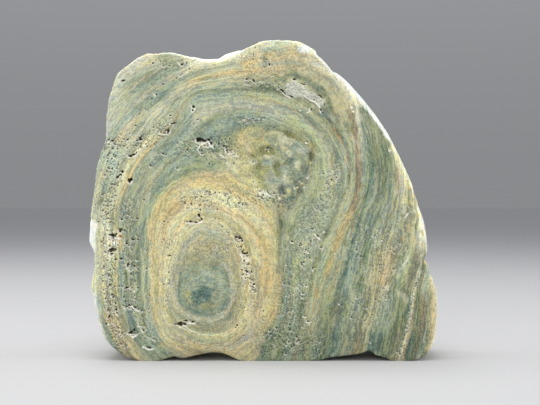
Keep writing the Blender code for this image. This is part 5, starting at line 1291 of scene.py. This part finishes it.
def slab_mesh():
    """The slab's places and faces, with the pits' depth, the chalky lips with their painted highlight, the
    flank and the sawn back.
    """
    rim, rim_length = sampled_rim()
    normals = inward_normals(rim)
    rings, ring_pits = slab_rings(rim, normals, rim_length)
    count = len(rim)
    face_pits = all_face_pits()
    back_pits = np.array(BACK_PITS)
    front_inner, front_faces = flat_face(rings[0][:, [0, 2]], FACE_PITCH, face_pits, fine_marks(), 3)
    back_inner, back_faces = flat_face(rings[-1][:, [0, 2]], BACK_PITCH, back_pits, np.empty((0, 2)), 5)
    front_depth, front_chalk_and_lit_lip = hollow_depth(*front_inner.T, face_pits)
    front_chalk_and_lit_lip = np.maximum(front_chalk_and_lit_lip, lining_and_lit_lip_mask(*front_inner.T))
    back_depth, back_chalk_and_lit_lip = hollow_depth(*back_inner.T, back_pits)
    front = np.column_stack([front_inner[:, 0], FRONT_Y + front_depth, front_inner[:, 1]])
    back = np.column_stack([back_inner[:, 0], -FRONT_Y - back_depth, back_inner[:, 1]])
    places = np.concatenate([rings.reshape(-1, 3), front, back])
    hollow = np.concatenate([ring_pits.ravel(), front_depth, back_depth])
    chalk_and_lit_lip = np.concatenate([np.zeros(ring_pits.size), front_chalk_and_lit_lip, back_chalk_and_lit_lip])
    depth_rows = len(rings)
    front_start = depth_rows * count
    back_start = front_start + len(front)
    last = (depth_rows - 1) * count
    faces = []
    for row in range(depth_rows - 1):
        for i in range(count):
            j = (i + 1) % count
            faces.append((row * count + i, (row + 1) * count + i, (row + 1) * count + j, row * count + j))
    for face in front_faces:
        faces.append(tuple(i if i < count else front_start + i - count for i in face))
    for face in back_faces:
        faces.append(tuple(last + i if i < count else back_start + i - count for i in reversed(face)))
    ring_number = np.repeat(np.arange(depth_rows), count)
    no_front = np.zeros(len(front), bool)
    all_back = np.ones(len(back), bool)
    sawn = np.concatenate([ring_number == depth_rows - 1, no_front, all_back])
    flank = np.concatenate([ring_number > EASED_RINGS, no_front, all_back]) & ~sawn
    return places, faces, hollow, chalk_and_lit_lip, flank, sawn


def drifted(places):
    """Where each place lies on the pattern of the polished face: the layers drift as they go back."""
    share = (places[:, 1] - FRONT_Y) / THICKNESS
    share = np.where(share < STEADY_SHARE, 0.0, share - STEADY_SHARE)
    moved = places.copy()
    moved[:, 0] += share * (5 + 5 * soft_noise(places, DRIFT_LUMP, 41))
    moved[:, 2] += share * (-6 + 5 * soft_noise(places, DRIFT_LUMP, 42))
    return moved


def rind_colour(places):
    """The weathered skin of the flank: cream, tan and chalk with ochre stains."""
    broad = soft_noise(places, 13, 51) + 0.5 * soft_noise(places, 5, 52)
    stains = soft_noise(places, 9, 53) + 0.5 * soft_noise(places, 3, 54)
    colour = np.tile(np.array(PIGMENTS["cream"]), (len(places), 1))
    colour = laid_on(colour, smooth_step(broad, 0.1, 0.7), "tan", 1.05)
    colour = laid_on(colour, smooth_step(-broad, 0.2, 0.8), "chalk", 0.95)
    colour = laid_on(colour, 0.8 * smooth_step(stains, 0.35, 0.9), "ochre", 0.95)
    return colour


def add_numbers(mesh, name, values):
    layer = mesh.attributes.new(name, "FLOAT", "POINT")
    layer.data.foreach_set("value", np.asarray(values, np.float32))


def add_colours(mesh, name, colours):
    layer = mesh.attributes.new(name, "FLOAT_COLOR", "POINT")
    rows = np.column_stack([np.clip(colours, 0, 1), np.ones(len(colours))])
    layer.data.foreach_set("color", rows.astype(np.float32).ravel())


def add_tones(mesh, places, hollow, chalk_and_lit_lip, flank, sawn):
    """Stores on the mesh what the stone's material reads at each point."""
    moved = drifted(places)
    layer = growth_field()(moved[:, 0], moved[:, 2])
    layer += 0.45 * soft_noise(moved, 9, 61) + 0.1 * soft_noise(moved, 3, 62)
    colour, lens = stone_colour(moved, layer)
    depth = places[:, 1] - FRONT_Y
    patchy = soft_noise(places, 11, 63) + 0.6 * soft_noise(places, 4, 64)
    rind = np.where(flank, smooth_step(depth, 4, 9) * (0.35 + 0.65 * smooth_step(patchy, -0.7, 0.2)), 0.0)
    skin = rind_colour(places)
    colour += (skin * 0.86 - colour) * rind[:, None]
    dusty = np.where(sawn, 0.3, 0.0)
    colour += (np.array(SAW_DUST) - colour) * dusty[:, None]
    x = moved[:, 0]
    z = moved[:, 2]
    ragged = 0.6 * soft_noise(moved, 3.4, 65) + 0.4 * soft_noise(moved, 1.5, 66)
    porous = np.where(flank, 0.3, streaky(x, z, POROUS, ragged))
    swing = (0.24 * colour + 0.05) * np.array((1.08, 1.0, 0.7)) * (1 + 0.4 * porous)[:, None]
    add_colours(mesh, "pale_tone", colour + swing)
    add_colours(mesh, "dark_tone", np.maximum(colour - 0.95 * swing, 0.3 * colour))
    add_numbers(mesh, "chalk_and_lit_lip", chalk_and_lit_lip)
    add_numbers(mesh, "layer", layer)
    add_numbers(mesh, "porous", porous)
    add_numbers(mesh, "mottled", np.maximum(streaky(x, z, MOTTLED, ragged), rind))
    add_numbers(mesh, "lined", np.where(flank, 0.2, streaky(x, z, LINED, ragged)))
    add_numbers(mesh, "hollow", np.clip(hollow / FULL_HOLLOW_DEPTH, 0, 1))
    add_numbers(mesh, "rind", np.where(flank, smooth_step(depth, 3, 8), 0.0))
    add_numbers(mesh, "sawn", sawn)
    add_numbers(mesh, "lens", lens)


# Material

class Wire:
    """A node's output. Sums, products and differences of wires add their Math nodes."""

    def __init__(self, bench, socket):
        self.bench = bench
        self.socket = socket

    def worked(self, operation, first, second):
        return self.bench.add("Math", {"operation": operation}, {0: first, 1: second})

    def __add__(self, other):
        return self.worked("ADD", self, other)

    def __sub__(self, other):
        return self.worked("SUBTRACT", self, other)

    def __mul__(self, other):
        return self.worked("MULTIPLY", self, other)

    def __truediv__(self, other):
        return self.worked("DIVIDE", self, other)

    def __rsub__(self, other):
        return self.worked("SUBTRACT", other, self)

    def __abs__(self):
        return self.bench.add("Math", {"operation": "ABSOLUTE"}, {0: self})

    __radd__ = __add__
    __rmul__ = __mul__


class NodeBench:
    """One material and the nodes that are added to it."""

    def __init__(self, name):
        self.material = bpy.data.materials.new(name)
        self.material.use_nodes = True
        self.tree = self.material.node_tree
        self.shader = self.tree.nodes["Principled BSDF"]

    def add(self, kind, settings, sockets, output=0):
        """A node of the kind, with its settings made first and then its sockets set or wired."""
        node = self.tree.nodes.new("ShaderNode" + kind)
        for name, value in settings.items():
            setattr(node, name, value)
        for name, value in sockets.items():
            self.set(node.inputs[name], value)
        return Wire(self, node.outputs[output])

    def set(self, socket, value):
        if isinstance(value, Wire):
            self.tree.links.new(value.socket, socket)
        else:
            socket.default_value = value

    def finish(self, sockets):
        for name, value in sockets.items():
            self.set(self.shader.inputs[name], value)
        return self.material

    def stored(self, name, output="Fac"):
        return self.add("Attribute", {"attribute_name": name}, {}, output)

    def lumps(self, place, size, detail=2.0):
        """Noise from 0 to 1 with lumps of a size in millimetres."""
        return self.add("TexNoise", {}, {"Vector": place, "Scale": 1.0 / size, "Detail": detail})

    def mixed(self, share, first, second, blend="MIX"):
        settings = {"data_type": "RGBA", "blend_type": blend}
        return self.add("Mix", settings, {0: share, 6: first, 7: second}, 2)

    def step(self, value, low, high):
        """0 below low, 1 above high, and smooth between."""
        sockets = {"Value": value, "From Min": low, "From Max": high}
        return self.add("MapRange", {"interpolation_type": "SMOOTHSTEP"}, sockets)


def stone_material():
    """The banded stone: laminae along the stored growth layers, mottles, pores, rind and sawn back, with
    painted shade in the pits and pores and painted highlight on their lower lips.
    """
    bench = NodeBench("banded_stone")
    place = bench.add("TexCoord", {}, {}, "Object")
    place = bench.add("VectorMath", {"operation": "SCALE"}, {0: place, "Scale": 1000.0})
    parts = bench.add("SeparateXYZ", {}, {0: place})
    x = parts
    y = Wire(bench, parts.socket.node.outputs[1])
    z = Wire(bench, parts.socket.node.outputs[2])
    layer = bench.stored("layer")
    porous = bench.stored("porous")
    mottled = bench.stored("mottled")
    hollow = bench.stored("hollow")
    rind = bench.stored("rind")
    sawn = bench.stored("sawn")
    lens = bench.stored("lens")
    chalk_and_lit_lip = bench.stored("chalk_and_lit_lip")
    lined = bench.stored("lined")

    bent = layer + bench.lumps(place, 9.0) * 1.3 + bench.lumps(place, 2.4) * 0.35

    def laminae(size, run, detail):
        """Noise that is fine across the growth layers and long along them."""
        along = {0: bent / size, 1: (x + y) / run, 2: (z - y) / run}
        spot = bench.add("CombineXYZ", {}, along)
        return bench.add("TexNoise", {}, {"Vector": spot, "Scale": 1.0, "Detail": detail})

    bands = laminae(2.4, 26.0, 2.0) - 0.5
    lines = laminae(0.95, 11.0, 2.0) - 0.5
    blotches = bench.lumps(place, 3.2, 3.0) - 0.5
    flecks = bench.lumps(place, 1.3, 2.0) - 0.5
    grain = bench.lumps(place, 0.6, 1.0) - 0.5
    fibres = laminae(0.55, 2.6, 1.0) - 0.5
    layered = bands * (2.2 + 1.2 * lined) + lines * (2.6 + 3.0 * lined) + fibres * (2.4 + 1.2 * lined)
    blotched = blotches * 4.6 + flecks * 2.2
    pattern = layered + (blotched - layered) * mottled * 0.85
    calm = bench.step(bench.lumps(place, 7.0), 0.35, 0.65)
    grainy = 2.0 + 1.6 * porous + 1.2 * calm + 0.8 * mottled
    pattern = pattern + flecks * (0.9 + 0.8 * calm) + grain * grainy
    pattern = pattern + bench.step(bench.lumps(place, 0.9, 1.0), 0.61, 0.67) * (0.8 + 0.9 * porous)
    pattern = pattern - bench.step(bench.lumps(place, 1.1, 1.0), 0.61, 0.67) * (0.8 + 0.9 * porous)
    share = bench.step(pattern, -1.0, 1.0)
    tone = bench.mixed(share, bench.stored("dark_tone", "Color"), bench.stored("pale_tone", "Color"))
    warmth = bench.step(laminae(1.5, 7.0, 2.0) + bench.lumps(place, 2.4, 2.0) * 1.5, 1.0, 1.5)
    tone = bench.mixed(warmth * 0.5, tone, WARM_TINT, "MULTIPLY")
    tone = bench.mixed(0.35 - 0.35 * warmth, tone, COOL_TINT, "MULTIPLY")

    banded = 1.0 - mottled * 0.8
    dark_seam = 1.0 - bench.step(abs(laminae(3.4, 60.0, 0.0) - 0.5), 0.006, 0.04)
    dark_seam = dark_seam * bench.step(bench.lumps(place, 8.0, 1.0), 0.45, 0.6) * banded
    tone = bench.mixed(dark_seam * (0.5 + 0.35 * lined), tone, DARK_SEAM, "MULTIPLY")
    pale_seam = 1.0 - bench.step(abs(laminae(4.3, 50.0, 0.0) - 0.46), 0.006, 0.04)
    pale_seam = pale_seam * bench.step(bench.lumps(place, 7.0, 1.0), 0.48, 0.6) * banded
    tone = bench.mixed(pale_seam * 0.35, tone, PALE_SEAM)

    pore_size = 1.7
    # Painted highlight, partly chalk: a pale crescent just below each pore, where top light would fall
    below = bench.add("VectorMath", {"operation": "ADD"}, {0: place, 1: (0.15, 0.0, 0.55)})
    chalk_and_lit_pore_lip = bench.step(bench.lumps(below, pore_size, 2.0), 0.6, 0.63) * porous
    tone = bench.mixed(chalk_and_lit_pore_lip * 0.7, tone, PORE_CHALK_LIT_LIP_TONE)
    # Painted shade: the pores, which are only dents in the bump, are darkened
    pores = bench.step(bench.lumps(place, pore_size, 2.0), 0.61, 0.64) * porous
    tone = bench.mixed(pores * 0.85, tone, PORE_SHADE_TONE)
    lens_grain = bench.step(grain + flecks, -0.16, 0.16)
    lens_tone = bench.mixed(lens_grain, LENS_DARK, LENS_PALE)
    tone = bench.mixed(lens * 0.7, tone, lens_tone)
    # Painted highlight with chalk: the pale lips of pits, brightest on their lower sides, and the linings
    tone = bench.mixed(chalk_and_lit_lip, tone, CHALK_LIT_LIP_TONE)
    # Painted shade: the pits darken towards their depths
    pit_shade = bench.step(hollow, 0.25, 0.85) * (1.0 - chalk_and_lit_lip * 0.8)
    tone = bench.mixed(pit_shade * 0.95, tone, PIT_SHADE_TONE)

    roughness = 0.4 + flecks * 0.25 + porous * 0.12 + hollow * 0.4 + rind * 0.42 + sawn * 0.34
    skin = bench.lumps(place, 1.3, 4.0)
    height = skin * (rind * 1.0 + hollow * 0.6 + sawn * 0.25) + grain * (0.12 + porous * 0.3) - pores * 0.6
    bump = bench.add("Bump", {}, {"Strength": 0.6, "Distance": 0.0006, "Height": height})
    return bench.finish({"Base Color": tone, "Roughness": roughness, "Normal": bump})


def floor_material():
    bench = NodeBench("pale_floor")
    return bench.finish({"Base Color": FLOOR_GREY, "Roughness": 0.7})


# Putting it together

def make_slab():
    places, faces, hollow, chalk_and_lit_lip, flank, sawn = slab_mesh()
    low = np.array(cad_box[0]) / MM
    high = np.array(cad_box[1]) / MM
    mesh = bpy.data.meshes.new("stromatolite")
    mesh.from_pydata((np.clip(places, low, high) * MM).tolist(), [], faces)
    mesh.polygons.foreach_set("use_smooth", np.ones(len(faces), bool))
    add_tones(mesh, places, hollow, chalk_and_lit_lip, flank, sawn)
    mesh.materials.append(stone_material())
    mesh.update()
    mesh.set_sharp_from_angle(angle=math.radians(SHARP_ANGLE))
    slab = bpy.data.objects.new("stromatolite", mesh)
    bpy.context.scene.collection.objects.link(slab)
    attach(slab, "root")
    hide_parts("stromatolite_slab")


def make_floor():
    half = FLOOR_HALF
    mesh = bpy.data.meshes.new("floor")
    corners = [(-half, -half, 0), (half, -half, 0), (half, half, 0), (-half, half, 0)]
    mesh.from_pydata(corners, [], [(0, 1, 2, 3)])
    mesh.materials.append(floor_material())
    floor = bpy.data.objects.new("floor", mesh)
    bpy.context.scene.collection.objects.link(floor)


def add_light(name, place, size, power, colour):
    light = bpy.data.lights.new(name, "AREA")
    light.shape = "RECTANGLE"
    light.size, light.size_y = size
    light.energy = power
    light.color = colour
    lamp = bpy.data.objects.new(name, light)
    lamp.location = place
    lamp.rotation_euler = (Vector(LIGHT_AIM) - Vector(place)).to_track_quat("-Z", "Y").to_euler()
    bpy.context.scene.collection.objects.link(lamp)


def make_world():
    """A soft grey surround that is lighter overhead and meets the floor's tone at the horizon."""
    world = bpy.data.worlds.new("studio")
    world.use_nodes = True
    tree = world.node_tree
    place = tree.nodes.new("ShaderNodeTexCoord")
    parts = tree.nodes.new("ShaderNodeSeparateXYZ")
    rise = tree.nodes.new("ShaderNodeMapRange")
    rise.interpolation_type = "SMOOTHSTEP"
    rise.inputs["From Max"].default_value = 0.7
    blend = tree.nodes.new("ShaderNodeMix")
    blend.data_type = "RGBA"
    blend.inputs[6].default_value = (0.252, 0.256, 0.266, 1)
    blend.inputs[7].default_value = (0.46, 0.47, 0.49, 1)
    tree.links.new(place.outputs["Generated"], parts.inputs[0])
    tree.links.new(parts.outputs["Z"], rise.inputs["Value"])
    tree.links.new(rise.outputs[0], blend.inputs[0])
    tree.links.new(blend.outputs[2], tree.nodes["Background"].inputs["Color"])
    bpy.context.scene.world = world


def make_lights():
    add_light("top_light", (-0.12, -0.08, 1.0), (0.9, 0.5), 8.6, (1.0, 0.99, 0.97))
    add_light("front_light", (-0.25, -1.5, 0.55), (1.3, 1.0), 8.8, (0.97, 0.99, 1.0))
    add_light("right_light", (1.0, 0.0, 0.5), (0.6, 0.8), 4.5, (1.0, 1.0, 1.0))
    add_light("left_light", (-1.0, 0.0, 0.5), (0.6, 0.8), 4.0, (1.0, 1.0, 1.0))


def make_camera():
    distance = FRAME_WIDTH * CAMERA_LENS / CAMERA_SENSOR
    camera = bpy.data.cameras.new("camera")
    camera.lens = CAMERA_LENS
    camera.sensor_width = CAMERA_SENSOR
    camera.clip_start = 0.01
    camera.clip_end = 20
    holder = bpy.data.objects.new("camera", camera)
    holder.location = (AIM[0] * MM, (FRONT_Y - distance) * MM, AIM[1] * MM)
    holder.rotation_euler = (math.radians(90), 0, 0)
    bpy.context.scene.collection.objects.link(holder)
    bpy.context.scene.camera = holder


make_slab()
make_floor()
make_world()
make_lights()
make_camera()
bpy.context.scene.view_settings.view_transform = "Standard"
